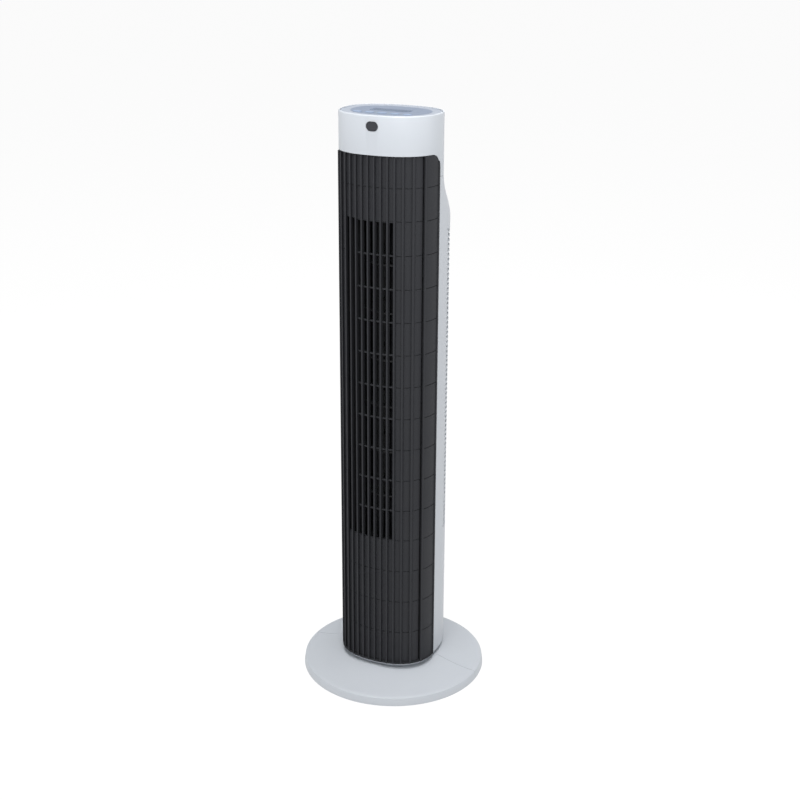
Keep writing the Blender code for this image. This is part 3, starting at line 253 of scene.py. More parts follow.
# %% Blocks, bars and tubes
TOUCHING = 1e-6                # points nearer than this are one point
ON_AXIS = 1e-9                 # a radius below this lies on the axis of turning


def block(low, high, radius=0.0, along=None, segments=8):
    """A box between two corners; edges that run along an axis may be rounded."""
    bm = bmesh.new()
    size = Vector(high) - Vector(low)
    made = bmesh.ops.create_cube(bm, size=1.0)["verts"]
    bmesh.ops.scale(bm, vec=size, verts=made)
    bmesh.ops.translate(bm, vec=(Vector(low) + Vector(high)) / 2, verts=made)
    if radius:
        edges = [edge for edge in bm.edges
                 if abs((edge.verts[0].co - edge.verts[1].co)["xyz".index(along)]) > TOUCHING]
        bmesh.ops.bevel(bm, geom=edges, offset=radius, affect="EDGES", segments=segments, profile=0.5,
                        material=-1)
    return bm


def turned(profile, steps):
    """A (radius, level) profile turned all the way about the Z axis."""
    bm = bmesh.new()
    verts = [bm.verts.new((radius, 0.0, z)) for radius, z in profile]
    loop = [bm.edges.new(pair) for pair in zip(verts, verts[1:] + verts[:1])
            if pair[0].co.xy.length > ON_AXIS or pair[1].co.xy.length > ON_AXIS]
    bmesh.ops.spin(bm, geom=verts + loop, cent=(0, 0, 0), axis=(0, 0, 1), angle=math.tau, steps=steps,
                   use_merge=True)
    bmesh.ops.remove_doubles(bm, verts=bm.verts, dist=TOUCHING)
    return bm


def moved(bm, place, turn=None):
    """Turn a mesh about the origin, then move it."""
    if turn:
        bmesh.ops.rotate(bm, cent=(0, 0, 0), matrix=turn, verts=bm.verts)
    bmesh.ops.translate(bm, vec=place, verts=bm.verts)
    return bm


# %% Cuts
def temporary(bm):
    """An object that holds a mesh while a cut is worked out."""
    bm.normal_update()
    bmesh.ops.recalc_face_normals(bm, faces=bm.faces)
    mesh = bpy.data.meshes.new("temporary")
    bm.to_mesh(mesh)
    bm.free()
    obj = bpy.data.objects.new("temporary", mesh)
    bpy.context.scene.collection.objects.link(obj)
    return obj


def cut(bm, tool, operation="DIFFERENCE"):
    """Boolean a mesh with another and return the result as a new mesh."""
    obj, other = temporary(bm), temporary(tool)
    modifier = obj.modifiers.new("cut", "BOOLEAN")
    modifier.operation = operation
    modifier.solver = "EXACT"
    modifier.object = other
    result = bmesh.new()
    evaluated = obj.evaluated_get(bpy.context.evaluated_depsgraph_get())
    result.from_mesh(evaluated.to_mesh())
    evaluated.to_mesh_clear()
    for spent in (obj, other):
        mesh = spent.data
        bpy.data.objects.remove(spent)
        bpy.data.meshes.remove(mesh)
    return result


def joined(parts):
    """Several meshes as one."""
    result = bmesh.new()
    for part in parts:
        mesh = bpy.data.meshes.new("temporary")
        part.to_mesh(mesh)
        part.free()
        result.from_mesh(mesh)
        bpy.data.meshes.remove(mesh)
    return result


# %% From mesh to piece
SHARP = math.radians(35)       # a steeper fold than this is an edge, not a curve


def piece(name, bm, finish, body, replaces=(), bevel=0.0003, segments=2):
    """Give a mesh its finish, bevel and body, and hide the frame nodes that it stands for."""
    bmesh.ops.remove_doubles(bm, verts=bm.verts, dist=TOUCHING)
    bm.normal_update()
    bmesh.ops.recalc_face_normals(bm, faces=bm.faces)
    mesh = bpy.data.meshes.new(name)
    bm.to_mesh(mesh)
    bm.free()
    mesh.materials.append(finish)
    obj = bpy.data.objects.new(name, mesh)
    bpy.context.scene.collection.objects.link(obj)
    mesh.shade_smooth()
    if bevel:
        edges = obj.modifiers.new("edges", "BEVEL")
        edges.width = bevel
        edges.segments = segments
        edges.limit_method = "ANGLE"
        edges.angle_limit = SHARP
        edges.use_clamp_overlap = True
        edges.harden_normals = True
    else:
        mesh.set_sharp_from_angle(angle=SHARP)
    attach(obj, body)
    if replaces:
        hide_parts(*replaces)
    print(name, "-", len(mesh.polygons), "faces")


# %% [markdown]
# ## The front block
# The charcoal grille fills the front, up to a level below the head and back to a seam on each
# side, and its two upper corners are rounded where the seam turns into the top edge. One
# rounded block describes that area. It is cut away from the white mouldings, and a hair
# smaller it trims the grille, so both follow the same line.

# %% The block in front of the seams
SEAM_Y = -0.0108
GRILLE_TOP = HEAD_TOP - 0.0465
CORNER = 0.017                 # radius of the grille's upper corners
FAR = 1.0


def front_block(margin):
    """The area of the grille; a margin makes it smaller."""
    bm = block((-FAR, -FAR, -FAR), (FAR, SEAM_Y - margin, GRILLE_TOP - margin))
    corner = [edge for edge in bm.edges
              if all(v.co.y > SEAM_Y - 0.01 and v.co.z > GRILLE_TOP - 0.01 for v in edge.verts)]
    bmesh.ops.bevel(bm, geom=corner, offset=CORNER - margin, affect="EDGES", segments=16, profile=0.5,
                    material=-1)
    return bm


print("grille from", round(shell_low.z, 4), "to", round(GRILLE_TOP, 4))

# %% [markdown]
# ## Head
# The head is one white moulding, open underneath. Its top edge is a narrow rounded rim, and
# inside the rim a shallow seat holds the control panel. In the real fan the buttons and the
# display reach through slots in that seat, and the receiver looks out through a round-ended
# hole in front, so the same openings are cut here.

# %% Head shell
panel_low, panel_high = (Vector(corner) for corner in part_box("control_panel"))
lens_low, lens_high = (Vector(corner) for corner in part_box("display_lens"))
window_low, window_high = (Vector(corner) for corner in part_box("ir_window"))
PANEL_INSET = 0.0024           # the panel's edge, just inside the rim
BUTTONS = ("power", "speed", "timer", "swing", "mode")
CAP_X, CAP_Y = 0.0058, 0.0038  # half size of a button cap
FLANGE = 0.0012                # the hidden collar that keeps a button in


def button_place(word):
    low, high = (Vector(corner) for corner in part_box("button_" + word))
    return (low + high) / 2, low.z, high.z


def pill(half_x, half_y, x, y, bottom, top):
    """A round-ended block, flat side up."""
    return block((x - half_x, y - half_y, bottom), (x + half_x, y + half_y, top),
                 min(half_x, half_y) - 0.00001, "z")


def top_openings(margin):
    """Openings for the buttons and the display, through panel and seat."""
    parts = []
    for word in BUTTONS:
        centre = button_place(word)[0]
        parts.append(pill(CAP_X + margin, CAP_Y + margin, centre.x, centre.y, panel_low.z - 0.01,
                          panel_high.z + 0.01))
    parts.append(block((lens_low.x - margin, lens_low.y - margin, panel_low.z - 0.01),
                       (lens_high.x + margin, lens_high.y + margin, panel_high.z + 0.01), 0.003, "z"))
    return joined(parts)


def receiver(margin, deep):
    """The round-ended receiver opening, lying along Y."""
    half = (window_high - window_low) / 2
    middle = (window_high + window_low) / 2
    return block((middle.x - half.x - margin, window_low.y - 0.004, middle.z - half.z - margin),
                 (middle.x + half.x + margin, window_low.y + deep, middle.z + half.z + margin),
                 half.z + margin - 0.00001, "y")


head = bmesh.new()
inside = ring(head, SKIN, panel_low.z - 0.0020)
edge = inside
for inset, z in ((SKIN, HEAD_BOTTOM), (0.0, HEAD_BOTTOM), (0.0, HEAD_TOP - 0.0016),
                 (0.0005, HEAD_TOP - 0.0006), (0.0014, HEAD_TOP), (PANEL_INSET - 0.0006, HEAD_TOP),
                 (PANEL_INSET - 0.0003, HEAD_TOP - 0.0004), (PANEL_INSET - 0.0003, panel_low.z - 0.0001)):
    edge = grow(head, edge, inset, z)
bmesh.ops.edgeloop_fill(head, edges=inside)
bmesh.ops.edgeloop_fill(head, edges=edge)
head = cut(head, front_block(0.0))
head = cut(head, receiver(0.0004, 0.006))
head = cut(head, top_openings(FLANGE + 0.0003))
piece("head_shell", head, moulded_white_abs, "tower", ("head_cap",), bevel=0.0006,
      segments=3)

# %% [markdown]
# ## Control panel
# A blue-grey plate lies in the seat, and a darker oval of printed film is stuck on it around
# the buttons and the display. There is no print on it: symbols and letters are left out.

# %% Control panel and film
FILM_INSET = 0.0138            # the film's edge, in from the head's outline
panel = cut(plate(PANEL_INSET, panel_low.z, panel_high.z), top_openings(0.0003))
piece("top_panel", panel, printed_grey_film, "tower", ("control_panel",), bevel=0.0002)
film = cut(plate(FILM_INSET, panel_high.z - 0.0002, panel_high.z + 0.00025), top_openings(0.0003))
piece("top_film", film, printed_blue_film, "tower", bevel=0)
lens = block(lens_low, (lens_high.x, lens_high.y, panel_high.z + 0.0003), 0.003, "z")
piece("display_window", lens, tinted_display, "tower", ("display_lens",), bevel=0.0002)

# %% [markdown]
# ## Buttons
# Five round-ended caps come up through the panel, each with a wider collar below that stops it
# from falling out. A cap's top edge is well rounded for the finger. Each button moves on its
# own, so each is a piece on its own body.

# %% Buttons
for word in BUTTONS:
    centre, bottom, top = button_place(word)
    cap = pill(CAP_X, CAP_Y, centre.x, centre.y, bottom, top)
    collar = pill(CAP_X + FLANGE, CAP_Y + FLANGE, centre.x, centre.y, bottom, bottom + FLANGE)
    piece("button_cap_" + word, joined([cap, collar]), moulded_grey_abs, "button_" + word,
          ("button_" + word,), bevel=0.0006, segments=3)

# %% [markdown]
# ## Receiver window
# The remote control's receiver sits behind a pill of smoked acrylic. Its front follows the
# head's curve, so it is cut from a thick pill with the head's own outline, a hair inside.

# %% Receiver window
window = cut(receiver(0.0, 0.0034), plate(0.00025, window_low.z - 0.01, window_high.z + 0.01), "INTERSECT")
piece("receiver_window", window, smoked_acrylic, "tower", ("ir_window",), bevel=0.0002)

# %% [markdown]
# ## Rear housing and shoulder
# The white back is a wall of even thickness carried round the outline. Above the intake it
# leans in to meet the head; there it gets many levels so that the S-shape stays smooth. Then
# five things are taken out: the grille's area in front, the intake at the back, the pocket of
# the carry handle, the sinks of the four screws, and the cord gland's entry.

# %% Rear housing
intake_low, intake_high = (Vector(corner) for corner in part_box("intake_grille"))
handle_low, handle_high = (Vector(corner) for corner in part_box("handle_cup"))
WALL = 0.0026
LEVELS = [shell_low.z, shell_low.z + 0.05, 0.2, 0.4, SHOULDER_LOW]
LEVELS += [SHOULDER_LOW + (HEAD_BOTTOM - SHOULDER_LOW) * step / 16 for step in range(1, 16)]
LEVELS += [HEAD_BOTTOM - GAP]
section = [(0.0, z) for z in LEVELS] + [(WALL, z) for z in reversed(LEVELS)]
INTAKE_FRONT = 0.0178          # Y where the intake's side columns begin


def intake_block(margin):
    """The area of the intake at the sides and back."""
    return block((-FAR, INTAKE_FRONT - margin, intake_low.z - margin), (FAR, FAR, intake_high.z + margin))


def handle_block(inset, front, back):
    """The handle's pocket, with rounded corners seen from behind."""
    return block((handle_low.x + inset, front, handle_low.z + inset),
                 (handle_high.x - inset, back, handle_high.z - inset), 0.007 - inset / 2, "y")


housing = cut(swept(section), front_block(0.0))
housing = cut(housing, intake_block(0.0003))
housing = cut(housing, handle_block(-0.0002, 0.0, FAR))
for number in range(1, 5):
    screw_low, screw_high = (Vector(corner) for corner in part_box(f"housing_screw_{number}"))
    middle = (screw_low + screw_high) / 2
    sink = turned(((0.0, -0.02), (0.0036, -0.02), (0.0036, 0.02), (0.0, 0.02)), 24)
    sink = moved(sink, (middle.x, screw_high.y, middle.z), Matrix.Rotation(math.pi / 2, 3, "X"))
    housing = cut(housing, sink)
gland_low, gland_high = (Vector(corner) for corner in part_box("cord_gland"))
entry = turned(((0.0, 0.0), (0.0064, 0.0), (0.0064, 0.05), (0.0, 0.05)), 32)
entry = moved(entry, (0.0, gland_high.y - 0.03, (gland_low.z + gland_high.z) / 2),
              Matrix.Rotation(-math.pi / 2, 3, "X"))
housing = cut(housing, entry)
piece("back_housing", housing, moulded_white_abs, "tower",
      ("rear_housing", "rear_shoulder"), bevel=0.0004)

# %% [markdown]
# ## Handle pocket
# A finger pocket lets the fan be lifted from behind. It is a small tub with its own wall; its
# mouth is trimmed with the outline so it ends flush with the leaning shoulder.

# %% Handle pocket
POCKET_LEVELS = [handle_low.z - 0.004 + 0.036 * step / 12 for step in range(13)]
tub = cut(handle_block(0.0, handle_low.y, FAR), handle_block(0.002, handle_low.y + 0.002, FAR + 0.01))
trim = bmesh.new()
lowest = ring(trim, 0.0004, POCKET_LEVELS[0])
edge = lowest
for z in POCKET_LEVELS[1:]:
    edge = grow(trim, edge, 0.0004, z)
bmesh.ops.edgeloop_fill(trim, edges=lowest)
bmesh.ops.edgeloop_fill(trim, edges=edge)
piece("handle_pocket", cut(tub, trim, "INTERSECT"), moulded_white_abs, "tower",
      ("handle_cup",), bevel=0.0003)

# %% [markdown]
# ## Intake louvres
# Air enters through about sixty thin louvres that wrap round the back. One louvre is a small
# section carried round the outline and cut off behind the side columns; copies of it are set
# one pitch apart. Upright ribs inside, and a column at each side, hold them together.

# %% Intake grille
PITCH = 0.0063
count = int((intake_high.z - intake_low.z) // PITCH)
start = intake_low.z + (intake_high.z - intake_low.z - count * PITCH) / 2
louvre = swept([(0.0006, start + 0.0016), (0.0001, start + 0.0024), (0.0001, start + 0.0039),
                (0.0006, start + 0.0047), (0.0052, start + 0.0043), (0.0052, start + 0.0020)])
cutting = louvre.verts[:] + louvre.edges[:] + louvre.faces[:]
bmesh.ops.bisect_plane(louvre, geom=cutting, dist=TOUCHING, plane_co=(0, INTAKE_FRONT + 0.0015, 0),
                       plane_no=(0, -1, 0), clear_outer=True)
bmesh.ops.holes_fill(louvre, edges=[edge for edge in louvre.edges if edge.is_boundary], sides=0)
original = louvre.verts[:] + louvre.edges[:] + louvre.faces[:]
for number in range(1, count):
    copy = bmesh.ops.duplicate(louvre, geom=original)["geom"]
    bmesh.ops.translate(louvre, vec=(0, 0, PITCH * number), verts=only(copy, bmesh.types.BMVert))
parts = [louvre]
frame_wall = [(0.0, intake_low.z), (0.0, intake_high.z), (0.0062, intake_high.z), (0.0062, intake_low.z)]
columns = cut(swept(frame_wall), block((-FAR, INTAKE_FRONT + 0.0032, -FAR), (FAR, FAR, FAR)))
parts.append(cut(columns, block((-FAR, -FAR, -FAR), (FAR, INTAKE_FRONT, FAR))))
for low, high in ((intake_low.z, intake_low.z + 0.0016), (intake_high.z - 0.0016, intake_high.z)):
    rail = swept([(0.0, low), (0.0, high), (0.0062, high), (0.0062, low)])
    parts.append(cut(rail, block((-FAR, -FAR, -FAR), (FAR, INTAKE_FRONT + 0.001, FAR))))
for x in (-0.045, -0.030, -0.015, 0.0, 0.015, 0.030, 0.045):
    y = back_y(x, 0.3) - 0.0024
    parts.append(block((x - 0.0011, y - 0.0050, intake_low.z + 0.001),
                       (x + 0.0011, y, intake_high.z - 0.001)))
piece("intake_louvres", joined(parts), moulded_white_abs, "tower", ("intake_grille",),
      bevel=0)
print("louvres:", count)

# %% [markdown]
# ## Front grille
# The grille is one charcoal moulding. Upright ribs stand proud of closed floors; in the outlet
# the floors are left out, so the ribs become free vanes with thin cross bars behind them. Fine
# grooves cross the floors at every bar level. It starts as a flat grid of faces, one column
# for every rib, floor, groove or panel and one row for every level. The grid is laid on the
# front outline, outlet floors are deleted, the sheet gets its thickness, and the floors are
# pushed in. Because the real tool opens to the front, the walls run straight back in the
# middle and turn towards the sides only near the seams.

# %% Columns and rows of the grille
RIB, RIB_PITCH, LAST_RIB = 0.0019, 0.008375, 0.02765
PROUD = -0.0010                # the ribs stand this far out of the tower's outline
LINE = 0.0008                  # height of a cross groove
FRONT, FLOOR, OUTLET, GROOVE, SIDE = 0, 3700, 3701, 7600, 1200    # depths in micrometres
LINE_DEPTH = 900


def front_turn(x):
    """Turn of the front outline's point at an X."""
    return math.tau - math.acos(math.copysign((abs(x) / HALF_WIDTH) ** (FRONT_POWER / 2), x))


def near_seam(y, side):
    """Turn of the front outline's point at a Y, on one side."""
    angle = math.asin(((MIDDLE - y) / FRONT_DEPTH) ** (FRONT_POWER / 2))
    return math.tau - angle if side > 0 else math.pi + angle


columns_made = [(None, near_seam(MIDDLE - 0.0001, -1), 0.0)]


def add_columns(kind, end, parts=1, insets=None):
    """Columns of one kind from the last turn to another; insets round a rib's front."""
    begin = columns_made[-1][1]
    insets = insets or [0.0] * parts
    for step in range(parts):
        columns_made.append((kind, begin + (end - begin) * (step + 1) / parts, insets[step]))


ROUNDED = (0.0001, 0.0, 0.0001, 0.00035)
ribs = sorted([LAST_RIB - RIB_PITCH * number for number in range(9)] + [-0.0482, 0.0372, 0.0477])
add_columns(FRONT, near_seam(SEAM_Y - 0.0024, -1), 2)
add_columns(SIDE, front_turn(-0.0585), 8)
add_columns(FRONT, front_turn(-0.0572))
add_columns(GROOVE, front_turn(-0.0559))
for centre in ribs:
    outlet = ribs[1] + 0.001 < centre <= LAST_RIB + 0.001
    add_columns(OUTLET if outlet else FLOOR, front_turn(centre - RIB / 2), 2, (0.0, 0.00035))
    add_columns(FRONT, front_turn(centre + RIB / 2), 4, ROUNDED)
add_columns(FLOOR, front_turn(0.0559), 3)
add_columns(GROOVE, front_turn(0.0572))
add_columns(FRONT, front_turn(0.0585), 2)
add_columns(SIDE, near_seam(SEAM_Y - 0.0024, 1), 8)
add_columns(FRONT, near_seam(MIDDLE - 0.0001, 1), 2)

OPENING_TOP = GRILLE_TOP - 0.0775
ROW_PITCH = 0.04156
row_levels = [OPENING_TOP - ROW_PITCH * number for number in range(11)]
OPENING_BOTTOM = row_levels[10]
grille_rows = [grille_low.z - 0.005]
for z in sorted([OPENING_TOP + 0.0397, 0.1664, 0.1223, 0.0774] + row_levels):
    grille_rows += [z - LINE / 2, z + LINE / 2]
grille_rows += [GRILLE_TOP - 0.0021, GRILLE_TOP + 0.006]
across, up = len(columns_made) - 1, len(grille_rows) - 1
print("grille:", across, "columns,", up, "rows")

# %% [markdown]
# The grid operator makes the sheet, and each vertex moves to its column's turn and its row's
# level. A layer on the faces remembers how deep each lies: nothing for rib fronts, more for side
# panels and floors, most for the two dark grooves, and a little extra for the cross grooves.


# %% Lay out the sheet
TURN_X = 0.049                 # beyond this X the grille's walls begin to turn sideways
THICKNESS, SEAM_EXTRA = 0.0065, 0.0027    # of the grille, and what it gains near the seams
EXTRA_REACH = 0.0046           # the run of X over which it gains that


def inward(point):
    """Direction in which the grille's walls run, from straight back to sideways."""
    share = min(max((abs(point.x) - TURN_X) / (HALF_WIDTH - TURN_X), 0.0), 1.0)
    return Vector((-math.copysign(share, point.x), 1.0 - share, 0.0)).normalized()


def depth_of(kind, row):
    """Depth of a cell in micrometres."""
    if row == up - 1:
        return max(kind, SIDE)
    if row % 2 and kind in (FLOOR, OUTLET, SIDE):
        return kind + LINE_DEPTH
    return kind


sheet = bmesh.new()
depth_layer = sheet.faces.layers.int.new("depth")
turn_layer = sheet.verts.layers.float.new("turn")
bmesh.ops.create_grid(sheet, x_segments=across, y_segments=up, size=1.0)
outlet_faces = []
for face in sheet.faces:
    middle = face.calc_center_median()
    i, j = int((middle.x + 1) / 2 * across), int((middle.y + 1) / 2 * up)
    kind = columns_made[i + 1][0]
    face[depth_layer] = depth_of(kind, j)
    level = (grille_rows[j] + grille_rows[j + 1]) / 2
    if kind == OUTLET and OPENING_BOTTOM < level < OPENING_TOP:
        outlet_faces.append(face)
for vert in sheet.verts:
    i, j = round((vert.co.x + 1) / 2 * across), round((vert.co.y + 1) / 2 * up)
    vert[turn_layer] = columns_made[i][1]
    vert.co = outline(columns_made[i][1], grille_rows[j], PROUD + columns_made[i][2])
bmesh.ops.delete(sheet, geom=outlet_faces, context="FACES")
print("outlet cells removed:", len(outlet_faces))

# %% [markdown]
# The areas are pushed in level by level: first everything that lies deeper than the ribs, then
# what lies deeper than that, and so on, so that no two walls fall on each other. Where an area
# runs out to the edge of the sheet, the wall that would close it there is taken away again.
# Last, the whole sheet gets a flat back; where a rib's wall and its copy meet, the doubles merge.


# %% Floors, grooves and thickness
def push(faces, depth):
    """Extrude a region of the sheet inward and open it at the sheet's edge."""
    before = set(sheet.faces)
    made = bmesh.ops.extrude_face_region(sheet, geom=faces)["geom"]
    for vert in only(made, bmesh.types.BMVert):
        vert.co += inward(vert.co) * depth
    caps = only(made, bmesh.types.BMFace)
    walls = set(sheet.faces) - before - set(caps)
    bmesh.ops.delete(sheet, geom=[face for face in faces if face.is_valid], context="FACES")
    closing = [face for face in walls if any(edge.is_boundary for edge in face.edges)]
    bmesh.ops.delete(sheet, geom=closing, context="FACES")
    return caps


current = sheet.faces[:]
reached = 0
for level in sorted({face[depth_layer] for face in current} - {0}):
    deeper = [face for face in current if face[depth_layer] >= level]
    current = [face for face in current if face[depth_layer] < level]
    current += push(deeper, (level - reached) / 1e6)
    reached = level
made = bmesh.ops.extrude_face_region(sheet, geom=sheet.faces[:])["geom"]
for vert in only(made, bmesh.types.BMVert):
    front = outline(vert[turn_layer], vert.co.z, PROUD)
    depth = THICKNESS + SEAM_EXTRA * min(max((abs(front.x) - TURN_X) / EXTRA_REACH, 0.0), 1.0)
    vert.co = front + inward(front) * depth
bmesh.ops.remove_doubles(sheet, verts=sheet.verts, dist=TOUCHING)
open_edges = sum(1 for edge in sheet.edges if not edge.is_manifold)
trim = block((-FAR, -FAR, grille_low.z), (FAR, SEAM_Y - GAP, GRILLE_TOP - GAP))
corner = [edge for edge in trim.edges
          if all(v.co.y > SEAM_Y - 0.01 and v.co.z > GRILLE_TOP - 0.01 for v in edge.verts)]
bmesh.ops.bevel(trim, geom=corner, offset=CORNER - GAP, affect="EDGES", segments=16, profile=0.5,
                material=-1)
grille = cut(sheet, trim, "INTERSECT")
print("grille faces:", len(grille.faces), "open edges before the trim:", open_edges)

# %% [markdown]
# ## Cross bars of the outlet
# Thin bars behind the vanes stop fingers and keep the vanes apart. Each is a strip of boxes
# that follows the curve of the front, a little way behind it. The two slots on the left have
# none. The bar at the top closes the outlet. A thin plate closes the floors at their foot. It
# covers the whole front half where a band along the edge would do, so the crank's shaft, which
# rises behind it, passes through it with no hole.

# %% Cross bars
BAR_HEIGHT, BAR_BEHIND, BAR_DEPTH = 0.0017, 0.0040, 0.0028
BAR_START = LAST_RIB - RIB_PITCH * 6


def front_y(x):
    """Y of the front outline at an X, with the ribs' stand."""
    return outline(front_turn(x), 0.3, PROUD).y


bars = []
for z in [OPENING_TOP - 0.0006] + row_levels[1:10]:
    bar = bmesh.new()
    bmesh.ops.create_cube(bar, size=1.0)
    long_edges = [edge for edge in bar.edges if abs(edge.verts[0].co.x - edge.verts[1].co.x) > 0.5]
    bmesh.ops.subdivide_edges(bar, edges=long_edges, cuts=15, use_grid_fill=True)
    for vert in bar.verts:
        x = BAR_START + (LAST_RIB - BAR_START) * (vert.co.x + 0.5)
        vert.co = Vector((x, front_y(x) + BAR_BEHIND + BAR_DEPTH * (vert.co.y + 0.5),
                          z + BAR_HEIGHT * vert.co.z))
    bars.append(bar)
bars = joined(bars)
piece("grille_bars", bars, moulded_charcoal_abs, "tower", bevel=0.0003)
LIP_LOW, LIP_HIGH = grille_low.z + 0.0001, grille_low.z + 0.0013
lip = cut(plate(PROUD + 0.0001, LIP_LOW, LIP_HIGH),
          block((-FAR, SEAM_Y - 2 * GAP, -FAR), (FAR, FAR, FAR)))
piece("grille_foot_lip", lip, moulded_charcoal_abs, "tower", bevel=0.0002)
piece("outlet_grille", grille, moulded_charcoal_abs, "tower", ("front_grille",),
      bevel=0)

# %% [markdown]
# ## Base
# The base is two half dishes that meet on a line from left to right, as they are moulded and
# screwed together. The slope is hollow, steep at the collar and nearly flat at the rim, and a
# rounded edge turns down to the floor. For each half, a section is spun through a full turn and
# a plane cuts the other side away.

# %% Base halves
base_low, base_high = (Vector(corner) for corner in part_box("base_front"))
RADIUS = base_high.x
COLLAR, BORE = 0.0580, 0.0405
SLOPE_STEPS = 14
slope = []
for step in range(SLOPE_STEPS + 1):
    share = step / SLOPE_STEPS
    drop = 1.0 - (1.0 - share) ** 1.6
    slope.append((COLLAR + (RADIUS - 0.004 - COLLAR) * share,
                  base_high.z - (base_high.z - 0.0131) * drop))
WALL_BASE, RIM_TOP = 0.0025, 0.0125
HALF_GAP = 0.0002              # each half ends this far from the middle line
lip = [(RADIUS - 0.0012 - 0.0016, RIM_TOP), (RADIUS - 0.0012 - 0.0006, RIM_TOP - 0.0003),
       (RADIUS - 0.0012 - 0.0001, RIM_TOP - 0.0010), (RADIUS - 0.0001, base_low.z + 0.0022),
       (RADIUS, base_low.z + 0.0012), (RADIUS - 0.0005, base_low.z)]
under = [(RADIUS - WALL_BASE, base_low.z), (RADIUS - 0.0012 - WALL_BASE, RIM_TOP - WALL_BASE)]
under += [(radius, z - WALL_BASE) for radius, z in reversed(slope[:-1])]
base_profile = [(BORE, base_high.z)] + slope + lip + under + [(BORE, base_high.z - WALL_BASE)]
for name, node, side in (("base_half_front", "base_front", -1), ("base_half_rear", "base_rear", 1)):
    half = turned(base_profile, 192)
    bmesh.ops.bisect_plane(half, geom=half.verts[:] + half.edges[:] + half.faces[:], dist=TOUCHING,
                           plane_co=(0, side * HALF_GAP, 0), plane_no=(0, -side, 0), clear_outer=True)
    bmesh.ops.holes_fill(half, edges=[edge for edge in half.edges if edge.is_boundary], sides=0)
    piece(name, half, moulded_white_abs, "base", (node,), bevel=0.0002)
print("base radius", round(RADIUS, 4))

# %% [markdown]
# ## Impeller
# The rotor of a cross-flow fan is a cage: thirty or so narrow curved blades run the length of
# it, held by flat rings. It is moulded in black polypropylene in short sections. Behind the
# vanes only dark slivers of it show, so each blade is a simple leaned strip.

# %% Impeller
rotor_low, rotor_high = (Vector(corner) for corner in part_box("impeller"))
axis = (rotor_low + rotor_high) / 2
ROTOR_RADIUS = (rotor_high.x - rotor_low.x) / 2
BLADES, SECTIONS = 34, 7
END_HOLE = 0.006               # radius of the hole in the cage's two end discs
BLADE_DEPTH, BLADE_HALF = 0.0095, 0.0004
BLADE_MIDDLE = ROTOR_RADIUS - 0.0034       # so that a leaned blade's tip just reaches the rim
LEAN = math.radians(52)
blade = block((BLADE_MIDDLE - BLADE_DEPTH / 2, -BLADE_HALF, rotor_low.z + 0.001),
              (BLADE_MIDDLE + BLADE_DEPTH / 2, BLADE_HALF, rotor_high.z - 0.001))
bmesh.ops.rotate(blade, cent=(BLADE_MIDDLE, 0, 0), matrix=Matrix.Rotation(LEAN, 3, "Z"), verts=blade.verts)
first = blade.verts[:] + blade.edges[:] + blade.faces[:]
for number in range(1, BLADES):
    copy = bmesh.ops.duplicate(blade, geom=first)["geom"]
    bmesh.ops.rotate(blade, cent=(0, 0, 0), matrix=Matrix.Rotation(math.tau * number / BLADES, 3, "Z"),
                     verts=only(copy, bmesh.types.BMVert))
rotor = [blade]
DISC = 0.0020
span = (rotor_high.z - rotor_low.z - DISC) / SECTIONS
for number in range(SECTIONS + 1):
    z = rotor_low.z + span * number
    inner = END_HOLE if number in (0, SECTIONS) else ROTOR_RADIUS - BLADE_DEPTH - 0.001
    rotor.append(turned([(inner, z), (ROTOR_RADIUS, z), (ROTOR_RADIUS, z + DISC), (inner, z + DISC)], 64))
rotor = moved(joined(rotor), (axis.x, axis.y, 0.0))
piece("impeller_cage", rotor, moulded_black_pp, "impeller", ("impeller",), bevel=0)

# %% [markdown]
# The tongue of the air duct ends in a rounded lip that runs close beside the rotor. It closes
# the gap between duct and rotor, so no daylight shows through the outlet.

# %% Lip of the duct's tongue
LIP_RADIUS, LIP_CLEAR = 0.0028, 0.0007
reach = ROTOR_RADIUS + LIP_CLEAR + LIP_RADIUS
lip_turn = math.radians(223)
duct_lip = turned([(0.0, rotor_low.z), (LIP_RADIUS, rotor_low.z), (LIP_RADIUS, rotor_high.z),
                   (0.0, rotor_high.z)], 24)
duct_lip = moved(duct_lip, (axis.x + reach * math.cos(lip_turn), axis.y + reach * math.sin(lip_turn), 0))
piece("duct_tongue_lip", duct_lip, moulded_black_pp, "tower", bevel=0)

# %% [markdown]
# ## Housing screws
# Four self-tapping screws close the back. A pan head with a cross recess is a turned dome with
# two crossing slots cut in it.

# %% Housing screws
for number in range(1, 5):
    low, high = (Vector(corner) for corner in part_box(f"housing_screw_{number}"))
    radius, length = (high.x - low.x) / 2, high.y - low.y
    screw = turned([(0.0, -length), (0.0014, -length), (0.0014, -0.0019), (radius, -0.0019),
                    (radius, -0.0009), (radius * 0.85, -0.0003), (radius * 0.5, 0.0), (0.0, 0.0)], 28)
    for half in (block((-0.0017, -0.00035, -0.0012), (0.0017, 0.00035, 0.001)),
                 block((-0.00035, -0.0017, -0.0013), (0.00035, 0.0017, 0.001))):
        screw = cut(screw, half)
    middle = (low + high) / 2
    screw = moved(screw, (middle.x, high.y, middle.z), Matrix.Rotation(-math.pi / 2, 3, "X"))
    piece(f"back_screw_{number}", screw, zinc_steel, "tower", (f"housing_screw_{number}",),
          bevel=0.0001)

# %% [markdown]
# ## The rest of the frame
# What is left lies inside or under the fan: the swivel with its nylon socket, motors, brackets,
# the board and its switches, the rubber feet. Those keep the frame's own shapes and get the
# finish that their slot names.

